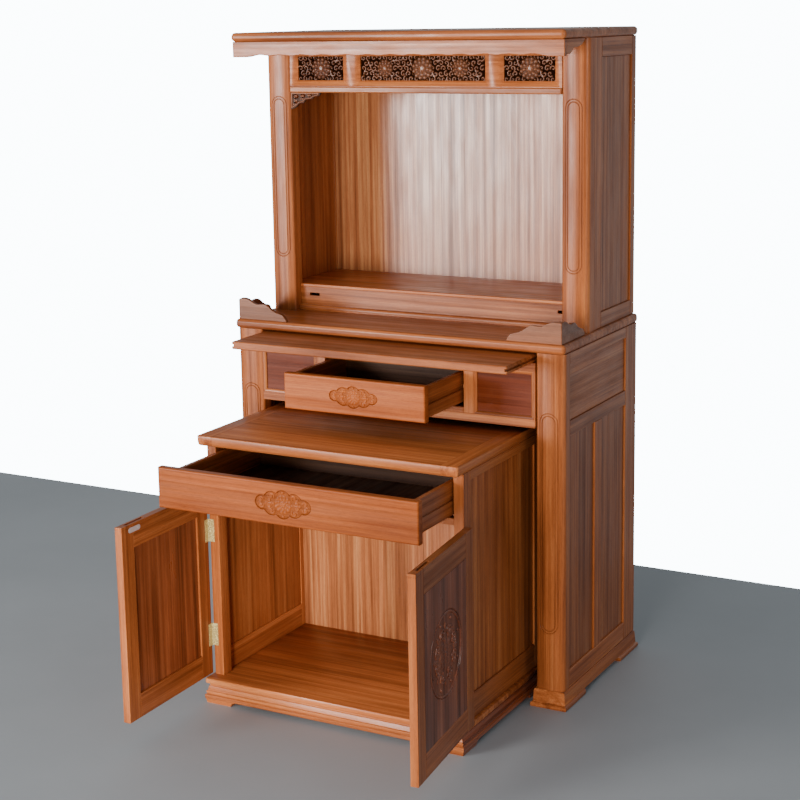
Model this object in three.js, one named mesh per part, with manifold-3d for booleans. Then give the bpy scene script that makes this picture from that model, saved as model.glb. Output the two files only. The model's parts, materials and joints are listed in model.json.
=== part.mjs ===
// Household altar cabinet in hardwood: a lower body with an offering board and a small drawer, an open
// shrine case above it, and a pull-out cabinet with a drawer and two doors. Millimetres, +Z up, front at -Y.
import * as THREE from 'three';
import { mergeVertices } from 'three/addons/utils/BufferGeometryUtils.js';
import Module from 'manifold-3d';

const wasm = await Module();
wasm.setup();

// Lower body
const bodyWidth = 1060;
const bodyDepth = 552;
const deskTop = 1047;
const deskThickness = 27;
const deskOverhangSide = 3;
const deskOverhangFront = 5;
const deskOverhangBack = 5;
const lowerPostWidth = 86;
const lowerPostDepth = 41;
const sideThickness = 22;
const sideRearStile = 87;
const sideMuntin = 54;
const sideTopRail = 33;
const sideMidRailAboveFrame = 20;
const sideMidRailHeight = 43;
const sideBottomRail = 54;
const backThickness = 12;
const backInset = 6;
const plinthHeight = 52;
const plinthFlare = 12;
const plinthProfile = [
  [0, 0.85], [0.06, 1], [0.2, 1], [0.25, 0.8], [0.27, 0.5], [0.9, 0.3], [0.97, 0.24], [1, 0.1],
];
const plinthArchFront = 133;
const plinthArchRear = 137;
const plinthArchHeight = 15;

// Engraved ovals on the posts
const ovalWidth = 54;
const upperOvalWidth = 50;
const ovalRingStep = 7.5;
const ovalLine = 3;
const ovalDepth = 2;
const lowerOvalBottom = 220;
const lowerOvalBelowDesk = 193;
const upperOvalAboveDesk = 167;
const upperOvalBelowCrown = 192;

// Drawer front frame between the lower posts, and the board that slides over it
const frontFrameBelowDesk = 239;
const frontFrameThickness = 22;
const boardThickness = 23;
const boardDepth = 380;
const boardSideGap = 6.5;
const boardRunGap = 0.5;
const boardTopGap = 5.5;
const boardPulled = 170;
const fieldMargin = 33;
const fieldInnerMargin = 40.7;
const fieldSideMargin = 13;
const fieldDepth = 5;
const fieldBevel = 9;
const dustBoardThickness = 12;
const partitionThickness = 14;

// Small drawer
const smallFrontSideMargin = 221.5;
const smallFrontTopMargin = 38.4;
const smallFrontHeight = 102;
const smallDrawerLength = 330;
const smallDrawerPulled = 231;
const smallFrontGap = 2.8;
const drawerFrontThickness = 22;
const drawerFrontBevel = 3;
const drawerWall = 13;
const drawerBottomThickness = 8;
const drawerTopDrop = 6;
const drawerBottomRise = 9;
const grooveDepth = 5;
const grooveHeight = 14;
const runnerGap = 1;

// Shrine case on the desktop
const caseSetback = 187;
const caseInset = 9;
const crownTop = 1890;
const crownThickness = 26;
const crownSideInset = 3;
const crownProjection = 177.5;
const crownOverhangBack = 2;
const upperPostWidth = 81;
const upperPostDepth = 46;
const caseSideThickness = 36.5;
const caseSideStile = 55;
const caseSideRearStile = 33;
const caseSideBottomRail = 44;
const caseSideTopRail = 54;
const caseBackThickness = 18;
const caseBackInset = 9;
const nicheFloorAboveDesk = 80.5;
const nicheFloorThickness = 10;
const nicheFloorSetback = 34.5;
const riserThickness = 15;
const riserSetback = 3.5;
const slotWidth = 35;
const slotHeight = 9;
const slotAboveDesk = 44;
const leftSlotFromPost = 48;
const rightSlotFromPost = 8;
const sillHeight = 16;
const sillDepth = 12;

// Carved frieze under the crown
const friezeSetback = 8;
const friezeThickness = 18;
const friezeBelowCrown = 162;
const friezeOpeningMargin = 18;
const friezeOpeningHeight = 70;
const friezeEndMargin = 24;
const friezeEndPanelLength = 155.5;
const friezeStileGap = 58.5;
const friezeMoulding = 17;
const friezeMouldingDepth = 8;
const friezePanelThickness = 5;
const friezeRelief = 6;
const friezeRailHeight = 18;
const friezeRailSetback = 3;
const bracketLength = 103;
const bracketHeight = 50;
const bracketThickness = 10;

// Scalloped valance under the crown
const valanceThickness = 16;
const valanceSetback = 5.5;
const valanceSideInset = 4;
const valanceDrop = 45;
const valanceEndFlat = 45;
const valanceStep = 7;
const valanceWave = 3;
const valanceWaves = 12;
const valanceReturnLength = 143;
const valanceReturnWave = [[0.18, 0.11], [0.3, 0.14], [0.28, 0.42], [0.4, 0.45], [0.63, 0.51], [0.89, 0.58]];

// Corner galleries on the desktop
const galleryLength = 166;
const galleryHeight = 62;
const galleryThickness = 12;
const galleryInset = 11;
const galleryFrontInset = 6;

// Pull-out cabinet
const nestedPulled = 408;
const nestedTopBelowFrame = 16;
const nestedTopThickness = 29;
const nestedTopSideGap = 38;
const nestedTopDepth = 526;
const nestedFrontGap = 4;
const nestedTopOverhang = 4;
const nestedFaceSetback = 42;
const nestedRearOverhang = 4;
const nestedStileWidth = 30;
const nestedStileDepth = 40;
const nestedSideThickness = 18;
const nestedRearStile = 30;
const nestedTopRail = 25;
const nestedBottomRail = 70;
const nestedBackThickness = 12;
const nestedFloorTop = 75;
const nestedFloorThickness = 17;
const nestedPlinthProjection = 7;
const nestedPlinthProfile = [
  [0, 3], [0.2, 5], [0.26, 7], [0.42, 7], [0.47, 2.5], [0.54, 4], [0.6, 4], [0.64, 0.5], [0.85, -2], [0.88, -4.5],
  [1, -4.5],
];
const nestedArchShoulder = 24;
const nestedArchLean = 3;
const nestedPlinthFrontInset = 4;
const nestedPlinthWall = 20;
const nestedFootLength = 78;
const nestedRailBelowTop = 170;
const nestedRailHeight = 19;
const nestedRailDepth = 28;
const breadboardWidth = 50;

// Drawer and doors of the pull-out cabinet
const largeFrontSideInset = 6;
const largeFrontBelowTop = 153;
const largeFrontHeight = 112.4;
const largeDrawerLength = 452;
const largeDrawerPulled = 220;
const largeBoxGap = 5;
const doorThickness = 22;
const doorMiddleGap = 2;
const doorAboveFloor = 4.4;
const doorBelowTop = 168;
const doorStile = 52;
const doorRail = 67;
const doorGap = 2;
const doorRecess = 5;
const doorLine = 2.5;
const leftDoorOpen = 89;
const rightDoorOpen = 96;
const pinOut = 3.2;
const knuckleRadius = 3;
const hingeHeight = 66;
const hingeLeafWidth = 15;
const hingeLeafThickness = 1;
const upperHingeBelowDoorTop = 151;
const lowerHingeAboveDoorBottom = 83.6;
const fingerSlotLength = 78;
const fingerSlotWidth = 6;
const fingerSlotDepth = 9;
const fingerSlotFromEdge = 30;

// Carved medallions
const doorMedallionRadius = 115;
const largeMedallionWidth = 171;
const largeMedallionHeight = 78;
const smallMedallionWidth = 153;
const smallMedallionHeight = 63;
const medallionLine = 3;
const medallionSteps = 20;
const medallionSink = 2;

// Places worked out from the sizes above
const bodyHalf = bodyWidth / 2;
const deskUnder = deskTop - deskThickness;
const postInner = bodyHalf - lowerPostWidth;
const sideInner = bodyHalf - sideThickness;
const backRear = bodyDepth - backInset;
const backFront = backRear - backThickness;
const boardTop = deskUnder - boardTopGap;
const boardUnder = boardTop - boardThickness;
const frontFrameTop = boardUnder - boardRunGap;
const frontFrameBottom = deskTop - frontFrameBelowDesk;
const sideMidRailTop = frontFrameBottom + sideMidRailAboveFrame;
const fieldBottom = frontFrameBottom + fieldMargin;
const fieldTop = frontFrameTop - fieldMargin;
const smallFrontWidth = 2 * (postInner - smallFrontSideMargin);
const smallFrontBottom = frontFrameTop - smallFrontTopMargin - smallFrontHeight;
const smallOpeningHalf = smallFrontWidth / 2 + smallFrontGap;
const fieldInner = smallOpeningHalf + fieldInnerMargin;
const smallOpeningBottom = smallFrontBottom - smallFrontGap;
const smallOpeningTop = smallFrontBottom + smallFrontHeight + smallFrontGap;
const caseHalf = bodyHalf - caseInset;
const casePostInner = caseHalf - upperPostWidth;
const caseSideInner = caseHalf - caseSideThickness;
const nicheFloorTop = deskTop + nicheFloorAboveDesk;
const slotBottom = deskTop + slotAboveDesk;
const slotCentres = [leftSlotFromPost - casePostInner, casePostInner - rightSlotFromPost];
const lowerOvalTop = deskTop - lowerOvalBelowDesk;
const upperOvalBottom = deskTop + upperOvalAboveDesk;
const upperOvalTop = crownTop - upperOvalBelowCrown;
const friezeBottom = crownTop - friezeBelowCrown;
const friezeOpeningBottom = friezeBottom + friezeOpeningMargin;
const friezeOpeningTop = friezeOpeningBottom + friezeOpeningHeight;
const friezeOuterOuter = casePostInner - friezeEndMargin;
const friezeOuterInner = friezeOuterOuter - friezeEndPanelLength;
const friezeMiddleHalf = friezeOuterInner - friezeStileGap;
const caseBackRear = bodyDepth - caseBackInset;
const caseBackFront = caseBackRear - caseBackThickness;
const crownUnder = crownTop - crownThickness;
const crownHalf = bodyHalf - crownSideInset;
const crownFront = caseSetback - crownProjection;
const nestedTop = frontFrameBottom - nestedTopBelowFrame;
const nestedTopHalf = postInner - nestedTopSideGap;
const nestedBodyHalf = nestedTopHalf - nestedTopOverhang;
const nestedPlinthHalf = nestedTopHalf + nestedPlinthProjection;
const nestedRailBottom = nestedTop - nestedRailBelowTop;
const largeFrontHalf = nestedBodyHalf - largeFrontSideInset;
const largeFrontBottom = nestedTop - largeFrontBelowTop;
const doorWidth = nestedBodyHalf - doorMiddleGap;
const doorBottom = nestedFloorTop + doorAboveFloor;
const doorTop = nestedTop - doorBelowTop;
const upperHingeBottom = doorTop - upperHingeBelowDoorTop;
const lowerHingeBottom = doorBottom + lowerHingeAboveDoorBottom;
const nestedTopFront = nestedFrontGap - nestedPulled;
const nestedTopRear = nestedTopFront + nestedTopDepth;
const nestedFace = nestedTopFront + nestedFaceSetback;
const nestedRear = nestedTopRear - nestedRearOverhang;
const nestedTopUnder = nestedTop - nestedTopThickness;
const nestedFloorUnder = nestedFloorTop - nestedFloorThickness;
const nestedStileInner = nestedBodyHalf - nestedStileWidth;
const nestedPanelInner = nestedBodyHalf - nestedSideThickness;
const nestedBackFront = nestedRear - nestedBackThickness;
const pinX = nestedBodyHalf + pinOut;
const pinY = nestedFace - doorGap / 2;

// Plain solids, each laid out by its own lowest and highest coordinates
function box(x0, x1, y0, y1, z0, z1) {
  const geometry = new THREE.BoxGeometry(Math.abs(x1 - x0), Math.abs(y1 - y0), Math.abs(z1 - z0));
  return geometry.translate((x0 + x1) / 2, (y0 + y1) / 2, (z0 + z1) / 2);
}

function outline(points) {
  return new THREE.Shape(points.map(([u, v]) => new THREE.Vector2(u, v)));
}

function extrude(shape, depth) {
  return new THREE.ExtrudeGeometry(shape, { depth, bevelEnabled: false, steps: 1, curveSegments: 4 });
}

function prismAlongZ(shape, z0, z1) {
  return extrude(shape, z1 - z0).translate(0, 0, z0);
}

// A shape drawn in x and z, given thickness from y0 to y1
function prismAlongY(shape, y0, y1) {
  return extrude(shape, y1 - y0).rotateX(Math.PI / 2).translate(0, y1, 0);
}

// A shape drawn in y and z, given thickness from x0 to x1
function prismAlongX(shape, x0, x1) {
  return extrude(shape, x1 - x0).rotateZ(Math.PI / 2).rotateY(Math.PI / 2).translate(x0, 0, 0);
}

function asSolid(geometry) {
  const bare = geometry.clone();
  bare.deleteAttribute('normal');
  bare.deleteAttribute('uv');
  const merged = mergeVertices(bare, 1e-4);
  const vertProperties = Float32Array.from(merged.attributes.position.array);
  const triVerts = Uint32Array.from(merged.index.array);
  return new wasm.Manifold(new wasm.Mesh({ numProp: 3, vertProperties, triVerts }));
}

function asGeometry(solid) {
  const mesh = solid.getMesh();
  const geometry = new THREE.BufferGeometry();
  geometry.setAttribute('position', new THREE.BufferAttribute(Float32Array.from(mesh.vertProperties), 3));
  geometry.setIndex(new THREE.BufferAttribute(Uint32Array.from(mesh.triVerts), 1));
  return geometry;
}

function join(...geometries) {
  return asGeometry(geometries.map(asSolid).reduce((sum, next) => sum.add(next)));
}

function cut(geometry, ...tools) {
  return asGeometry(tools.map(asSolid).reduce((rest, tool) => rest.subtract(tool), asSolid(geometry)));
}

function common(geometry, other) {
  return asGeometry(asSolid(geometry).intersect(asSolid(other)));
}

function mirrored(geometry, side) {
  if (side > 0) {
    return geometry;
  }
  const flipped = geometry.clone().applyMatrix4(new THREE.Matrix4().makeScale(-1, 1, 1));
  if (!flipped.index) {
    flipped.setIndex([...Array(flipped.attributes.position.count).keys()]);
  }
  const index = flipped.index.array;
  for (let i = 0; i < index.length; i += 3) {
    const first = index[i];
    index[i] = index[i + 1];
    index[i + 1] = first;
  }
  return flipped;
}

// A flat-topped body through a stack of level outlines, each with the same number of points
function loft(rings) {
  const count = rings[0].length;
  const positions = rings.flat().flat();
  const index = [];
  for (let level = 0; level + 1 < rings.length; level += 1) {
    for (let i = 0; i < count; i += 1) {
      const a = level * count + i;
      const b = level * count + ((i + 1) % count);
      index.push(a, b, b + count, a, b + count, a + count);
    }
  }
  const top = (rings.length - 1) * count;
  for (let i = 1; i + 1 < count; i += 1) {
    index.push(0, i + 1, i);
    index.push(top, top + i, top + i + 1);
  }
  const geometry = new THREE.BufferGeometry();
  geometry.setAttribute('position', new THREE.Float32BufferAttribute(positions, 3));
  geometry.setIndex(index);
  return geometry;
}

function roundedRing(x0, x1, y0, y1, z, radius, steps) {
  const corners = [[x1, y1, 0], [x0, y1, 1], [x0, y0, 2], [x1, y0, 3]];
  return corners.flatMap(([x, y, quarter]) => {
    const cx = x - radius * Math.sign(x - (x0 + x1) / 2);
    const cy = y - radius * Math.sign(y - (y0 + y1) / 2);
    return Array.from({ length: steps + 1 }, (_, i) => {
      const angle = (quarter + i / steps) * Math.PI / 2;
      return [cx + radius * Math.cos(angle), cy + radius * Math.sin(angle), z];
    });
  });
}

// A board with rounded plan corners and a half-round edge all round
function edgedBoard(x0, x1, y0, y1, z0, z1, edge, cornerRadius, steps = 3) {
  const lower = Array.from({ length: steps + 1 }, (_, i) => {
    const angle = (i / steps) * Math.PI / 2;
    return [z0 + edge * (1 - Math.cos(angle)), edge * (1 - Math.sin(angle))];
  });
  const upper = lower.map(([z, inset]) => [z1 + z0 - z, inset]).reverse();
  const rings = [...lower, ...upper].map(([z, inset]) =>
    roundedRing(x0 + inset, x1 - inset, y0 + inset, y1 - inset, z, Math.max(cornerRadius - inset, 0.5), steps));
  return loft(rings);
}

// A four-sided block whose outline changes with height
function flaredBlock(x0, x1, y0, y1, levels) {
  return loft(levels.map(([z, flare]) => [
    [x1 + flare, y1 + flare, z],
    [x0 - flare, y1 + flare, z],
    [x0 - flare, y0 - flare, z],
    [x1 + flare, y0 - flare, z],
  ]));
}

// A four-sided cutter that narrows from its mouth at y0 to its floor at y1
function taperedCut(x0, x1, z0, z1, y0, y1, taper) {
  const block = flaredBlock(x0, x1, z0, z1, [[0, 0], [y1 - y0, taper]]);
  return block.rotateX(Math.PI / 2).translate(0, y1, 0);
}

function stadium(centreX, z0, z1, radius) {
  const shape = new THREE.Shape();
  shape.absarc(centreX, z1 - radius, radius, 0, Math.PI, false);
  shape.absarc(centreX, z0 + radius, radius, Math.PI, 2 * Math.PI, false);
  shape.closePath();
  return shape;
}

function stadiumLine(centreX, z0, z1, radius, faceY) {
  const ring = stadium(centreX, z0, z1, radius);
  ring.holes.push(stadium(centreX, z0 + ovalLine, z1 - ovalLine, radius - ovalLine));
  return prismAlongY(ring, faceY - 1, faceY + ovalDepth);
}

// Two engraved ovals, one inside the other, for the face of a post
function postOvals(centreX, z0, z1, width, faceY) {
  return [
    stadiumLine(centreX, z0, z1, width / 2, faceY),
    stadiumLine(centreX, z0 + ovalRingStep, z1 - ovalRingStep, width / 2 - ovalRingStep, faceY),
  ];
}

// A post with its two front corners rounded
function post(x0, x1, y0, y1, z0, z1, outerRadius, innerRadius) {
  const shape = new THREE.Shape();
  shape.moveTo(x0, y1);
  shape.lineTo(x0, y0 + innerRadius);
  shape.absarc(x0 + innerRadius, y0 + innerRadius, innerRadius, Math.PI, 1.5 * Math.PI, false);
  shape.absarc(x1 - outerRadius, y0 + outerRadius, outerRadius, 1.5 * Math.PI, 2 * Math.PI, false);
  shape.lineTo(x1, y1);
  shape.closePath();
  return prismAlongZ(shape, z0, z1);
}

function ellipseShape(centreX, centreZ, radiusX, radiusZ, turn = 0, points = 12) {
  const shape = new THREE.Shape();
  const list = Array.from({ length: points }, (_, i) => {
    const angle = (i / points) * 2 * Math.PI;
    const u = radiusX * Math.cos(angle);
    const v = radiusZ * Math.sin(angle);
    return new THREE.Vector2(
      centreX + u * Math.cos(turn) - v * Math.sin(turn),
      centreZ + u * Math.sin(turn) + v * Math.cos(turn),
    );
  });
  shape.setFromPoints(list);
  return shape;
}

// A low boss with a smaller flat crest, rising from y0 towards the front by height
function boss(centreX, centreZ, radiusX, radiusZ, turn, y0, height, points = 5) {
  const ring = (scale, rise) => Array.from({ length: points }, (_, i) => {
    const angle = (i / points) * 2 * Math.PI;
    const u = radiusX * scale * Math.cos(angle);
    const v = radiusZ * scale * Math.sin(angle);
    return [
      centreX + u * Math.cos(turn) - v * Math.sin(turn),
      centreZ + u * Math.sin(turn) + v * Math.cos(turn),
      rise,
    ];
  });
  return loft([ring(1, -0.5), ring(0.52, height)])
    .rotateX(Math.PI / 2)
    .translate(0, y0, 0);
}

// A flower seen from the front: rings of petals round a heart
function flower(centreX, centreZ, radius, petals, y0, height) {
  const parts = [boss(centreX, centreZ, radius * 0.26, radius * 0.26, 0, y0, height, 6)];
  for (let i = 0; i < petals; i += 1) {
    const angle = (i / petals) * 2 * Math.PI + Math.PI / 2;
    const reach = radius * 0.62;
    parts.push(boss(centreX + reach * Math.cos(angle), centreZ + reach * Math.sin(angle),
      radius * 0.36, radius * 0.22, angle, y0, height * 0.8));
  }
  return parts;
}

// A scroll: bosses strung along a shrinking spiral
function scroll(centreX, centreZ, radius, turn, direction, beads, y0, height) {
  return Array.from({ length: beads }, (_, i) => {
    const share = i / beads;
    const angle = turn + direction * share * 1.6 * Math.PI;
    const reach = radius * (1 - 0.62 * share);
    return boss(centreX + reach * Math.cos(angle), centreZ + reach * Math.sin(angle),
      radius * 0.36 * (1 - 0.3 * share), radius * 0.2, angle + Math.PI / 2, y0, height);
  });
}

const cabinet = new THREE.Group();
const wood = { color: '#a5683f', roughness: 0.42, metalness: 0 };
const darkWood = { color: '#7c4526', roughness: 0.5, metalness: 0 };
const insideWood = { color: '#b3814f', roughness: 0.6, metalness: 0 };
const brass = { color: '#c9a957', roughness: 0.35, metalness: 1 };

function piece(name, geometry, finish, parent = cabinet) {
  const mesh = new THREE.Mesh(geometry, new THREE.MeshStandardMaterial(finish));
  mesh.name = name;
  parent.add(mesh);
  return mesh;
}

const sides = [[-1, 'left'], [1, 'right']];

// Lower body: plinths with bracket feet, posts, framed sides, back
function lowerPlinth() {
  const levels = plinthProfile.map(([up, out]) => [plinthHeight * up, plinthFlare * out]);
  const frontFoot = flaredBlock(postInner, bodyHalf, 0, lowerPostDepth + plinthFlare, levels);
  const skirt = flaredBlock(sideInner, bodyHalf, lowerPostDepth / 2, bodyDepth - 4, levels);
  const inner = box(0, sideInner, lowerPostDepth + plinthFlare * 1.5, bodyDepth + 2 * plinthFlare,
    -1, plinthHeight + 1);
  const archRear = bodyDepth - plinthArchRear;
  const shoulder = plinthArchHeight;
  const arch = new THREE.Shape();
  arch.moveTo(plinthArchFront, -1);
  arch.quadraticCurveTo(plinthArchFront + 2, plinthArchHeight, plinthArchFront + shoulder, plinthArchHeight);
  arch.lineTo(archRear - shoulder, plinthArchHeight);
  arch.quadraticCurveTo(archRear - 2, plinthArchHeight, archRear, -1);
  arch.closePath();
  const archCut = prismAlongX(arch, sideInner - plinthFlare * 2, bodyHalf + plinthFlare * 2);
  return cut(join(frontFoot, cut(skirt, inner)), archCut);
}

function lowerSide() {
  const front = lowerPostDepth;
  const bottom = plinthHeight;
  const slab = box(sideInner, bodyHalf, front, bodyDepth, bottom, deskUnder);
  const rearField = bodyDepth - sideRearStile;
  const middle = (front + rearField) / 2;
  const fields = [
    [front, rearField, sideMidRailTop, deskUnder - sideTopRail],
    [front, middle - sideMuntin / 2, bottom + sideBottomRail, sideMidRailTop - sideMidRailHeight],
    [middle + sideMuntin / 2, rearField, bottom + sideBottomRail, sideMidRailTop - sideMidRailHeight],
  ];
  const recess = 5;
  const cuts = fields.flatMap(([y0, y1, z0, z1]) => [
    box(bodyHalf - recess, bodyHalf + 1, y0, y1, z0, z1),
    box(sideInner - 1, sideInner + recess, y0, y1, z0, z1),
  ]);
  return cut(slab, ...cuts);
}

for (const [side, word] of sides) {
  piece(`plinth_${word}`, mirrored(lowerPlinth(), side), wood);
  const lowerPost = post(postInner, bodyHalf, 0, lowerPostDepth, plinthHeight, deskUnder, 14, 8);
  const ovals = postOvals((postInner + bodyHalf) / 2 - 3, lowerOvalBottom, lowerOvalTop, ovalWidth, 0);
  piece(`lower_post_${word}`, mirrored(cut(lowerPost, ...ovals), side), wood);
  piece(`lower_side_${word}`, mirrored(lowerSide(), side), wood);
}
piece('lower_back', box(-sideInner, sideInner, backFront, backRear, plinthHeight, deskUnder), insideWood);

// Desktop
piece('desktop', edgedBoard(-bodyHalf - deskOverhangSide, bodyHalf + deskOverhangSide,
  -deskOverhangFront, bodyDepth + deskOverhangBack, deskUnder, deskTop, 9, 12), wood);

// Front frame with two fixed panels and the small drawer's opening
function frontFrame() {
  const slab = box(-postInner, postInner, 0, frontFrameThickness, frontFrameBottom, frontFrameTop);
  const opening = box(-smallOpeningHalf, smallOpeningHalf, -1, frontFrameThickness + 1,
    smallOpeningBottom, smallOpeningTop);
  const fieldOuter = postInner - fieldSideMargin;
  const fields = sides.map(([side]) => mirrored(
    taperedCut(fieldInner + fieldBevel, fieldOuter - fieldBevel, fieldBottom + fieldBevel,
      fieldTop - fieldBevel, 0, fieldDepth, fieldBevel),
    side,
  ));
  return cut(slab, opening, ...fields);
}
piece('front_frame', frontFrame(), wood);

// Dust board over the bay, and the two partitions whose runners carry the small drawer
const dustBottom = frontFrameBottom + dustBoardThickness;
const dustTop = dustBottom + dustBoardThickness;
piece('dust_board', join(
  box(-sideInner, sideInner, lowerPostDepth, backFront, dustBottom, dustTop),
  box(-postInner, postInner, frontFrameThickness, lowerPostDepth + 1, dustBottom, dustTop),
), insideWood);
const smallBoxHalf = smallOpeningHalf - largeBoxGap * 1.6;
const smallBoxBottom = smallFrontBottom + drawerBottomRise;
const smallBoxTop = smallFrontBottom + smallFrontHeight - drawerTopDrop;
const smallGrooveMid = (smallBoxBottom + smallBoxTop) / 2;

function runner(x0, x1, y0, y1, middle) {
  return box(x0, x1, y0, y1, middle - grooveHeight / 2 + runnerGap, middle + grooveHeight / 2 - runnerGap);
}

for (const [side, word] of sides) {
  const wall = box(smallOpeningHalf, smallOpeningHalf + partitionThickness, frontFrameThickness, backFront,
    dustTop, frontFrameTop);
  const rail = runner(smallBoxHalf - grooveDepth + runnerGap, smallOpeningHalf + 1, frontFrameThickness,
    backFront, smallGrooveMid);
  piece(`drawer_partition_${word}`, mirrored(join(wall, rail), side), insideWood);
}

// Offering board, drawn out between the desktop and the front frame
function offeringBoard() {
  const half = postInner - boardSideGap;
  const front = -boardPulled;
  const board = edgedBoard(-half, half, front, front + boardDepth, boardUnder, boardTop, 2.5, 3, 1);
  const notchDepth = 7;
  const notch = boardThickness * 0.3;
  const middle = (boardUnder + boardTop) / 2;
  const notches = sides.map(([side]) => mirrored(
    box(half - notchDepth, half + 1, front - 1, front + boardDepth + 1, middle - notch / 2, middle + notch / 2),
    side,
  ));
  return cut(board, ...notches);
}
piece('offering_board', offeringBoard(), wood);

// Carved cartouche: an engraved oval line, a flower and scrolls in its sunk field, facing -Y at faceY
function ovalMedallion(centreZ, width, height, faceY) {
  const oval = (inset) => ellipseShape(0, centreZ, width / 2 - inset, height / 2 - inset, 0, medallionSteps);
  const field = prismAlongY(oval(0), faceY - 1, faceY + medallionSink);
  const bed = prismAlongY(oval(medallionLine), faceY + medallionSink / 2, faceY + medallionSink + 1);
  const floor = faceY + medallionSink;
  const relief = [...flower(0, centreZ, height * 0.36, 6, floor, medallionSink + 0.8)];
  for (const [side] of sides) {
    relief.push(...scroll(side * width * 0.3, centreZ, height * 0.26, side > 0 ? 0 : Math.PI, side, 5, floor,
      medallionSink + 0.4));
  }
  return { field, bed, relief };
}

function drawerFront(half, y0, z0, z1, width, height) {
  const levels = [[0, -drawerFrontBevel], [drawerFrontBevel, 0], [drawerFrontThickness, 0]];
  const slab = flaredBlock(-half, half, -z1, -z0, levels).rotateX(-Math.PI / 2).translate(0, y0, 0);
  const { field, bed, relief } = ovalMedallion((z0 + z1) / 2, width, height, y0);
  return join(cut(slab, field), bed, ...relief);
}

// One drawer: carved front, two grooved walls, back and bottom
function drawer(name, sizes) {
  const { frontHalf, frontBottom, frontTop, boxHalf, boxBottom, boxTop, front, length, width, height } = sizes;
  const boxFront = front + drawerFrontThickness;
  const boxRear = front + length;
  const middle = (boxBottom + boxTop) / 2;
  piece(`${name}_front`, drawerFront(frontHalf, front, frontBottom, frontTop, width, height), wood);
  for (const [side, word] of sides) {
    const wall = box(boxHalf - drawerWall, boxHalf, boxFront, boxRear, boxBottom, boxTop);
    const groove = box(boxHalf - grooveDepth, boxHalf + 1, boxFront - 1, boxRear + 1,
      middle - grooveHeight / 2, middle + grooveHeight / 2);
    piece(`${name}_wall_${word}`, mirrored(cut(wall, groove), side), insideWood);
  }
  const inner = boxHalf - drawerWall;
  const bottomTop = boxBottom + drawerBottomThickness;
  piece(`${name}_bottom`, box(-inner, inner, boxFront, boxRear, boxBottom, bottomTop), insideWood);
  piece(`${name}_back`, box(-inner, inner, boxRear - drawerWall, boxRear, bottomTop, boxTop), insideWood);
}

drawer('small_drawer', {
  frontHalf: smallFrontWidth / 2,
  frontBottom: smallFrontBottom,
  frontTop: smallFrontBottom + smallFrontHeight,
  boxHalf: smallBoxHalf,
  boxBottom: smallBoxBottom,
  boxTop: smallBoxTop,
  front: -smallDrawerPulled,
  length: smallDrawerLength,
  width: smallMedallionWidth,
  height: smallMedallionHeight,
});

// Corner galleries: the wave falls from the corner to nothing, as shares of the length and height
const galleryWave = [[0, 0.97], [0.13, 1], [0.25, 0.92], [0.36, 0.76], [0.48, 0.78], [0.58, 0.76],
  [0.71, 0.52], [0.82, 0.4], [0.92, 0.32], [0.98, 0.14], [1, 0]];

function galleryLeg(start, direction) {
  const curve = new THREE.SplineCurve(galleryWave.map(([along, up]) =>
    new THREE.Vector2(start + direction * along * galleryLength, deskTop + up * galleryHeight)));
  const shape = new THREE.Shape([new THREE.Vector2(start, deskTop), ...curve.getPoints(20)]);
  return shape;
}

for (const [side, word] of sides) {
  const outer = bodyHalf + deskOverhangSide - galleryInset;
  const front = -deskOverhangFront + galleryFrontInset;
  const frontLeg = prismAlongY(galleryLeg(outer, -1), front, front + galleryThickness);
  const sideLeg = prismAlongX(galleryLeg(front, 1), outer - galleryThickness, outer);
  piece(`corner_gallery_${word}`, mirrored(join(frontLeg, sideLeg), side), wood);
}

// Shrine case: posts, sides, back, crown
function caseSide() {
  const front = caseSetback + upperPostDepth;
  const slab = box(caseSideInner, caseHalf, front, bodyDepth, deskTop, crownUnder);
  const recess = 5;
  const field = box(caseHalf - recess, caseHalf + 1, front + caseSideStile, bodyDepth - caseSideRearStile,
    deskTop + caseSideBottomRail, crownUnder - caseSideTopRail);
  return cut(slab, field);
}

for (const [side, word] of sides) {
  const upperPost = post(casePostInner, caseHalf, caseSetback, caseSetback + upperPostDepth, deskTop,
    crownUnder, 18, 8);
  const ovals = postOvals((casePostInner + caseHalf) / 2 - 3, upperOvalBottom, upperOvalTop,
    upperOvalWidth, caseSetback);
  piece(`upper_post_${word}`, mirrored(cut(upperPost, ...ovals), side), wood);
  piece(`case_side_${word}`, mirrored(caseSide(), side), wood);
}
piece('case_back', box(-caseSideInner, caseSideInner, caseBackFront, caseBackRear, deskTop, crownUnder), wood);
piece('crown', edgedBoard(-crownHalf, crownHalf, crownFront, bodyDepth + crownOverhangBack, crownUnder,
  crownTop, 12, 14), wood);

// Scalloped valance and its two returns
const valanceBottom = crownUnder - valanceDrop;
const valanceFront = crownFront + valanceSetback;
const valanceHalf = crownHalf - valanceSideInset;

function valanceEdge(x) {
  const fromEnd = valanceHalf - Math.abs(x);
  const rampLength = valanceEndFlat;
  const ramp = Math.min(Math.max((fromEnd - valanceEndFlat) / rampLength, 0), 1);
  const rise = valanceStep * (3 * ramp * ramp - 2 * ramp * ramp * ramp);
  const waveHalf = valanceHalf - valanceEndFlat - rampLength;
  const wave = ramp < 1 ? 0 : valanceWave * (Math.cos((x / waveHalf) * Math.PI * valanceWaves) - 1) / 2;
  return valanceBottom + rise + wave;
}

function valance() {
  const steps = 72;
  const points = [[valanceHalf, crownUnder], [-valanceHalf, crownUnder]];
  for (let i = 0; i <= steps; i += 1) {
    const x = -valanceHalf + (2 * valanceHalf * i) / steps;
    points.push([x, valanceEdge(x)]);
  }
  return prismAlongY(outline(points), valanceFront, valanceFront + valanceThickness);
}
piece('valance_front', valance(), wood);

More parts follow.
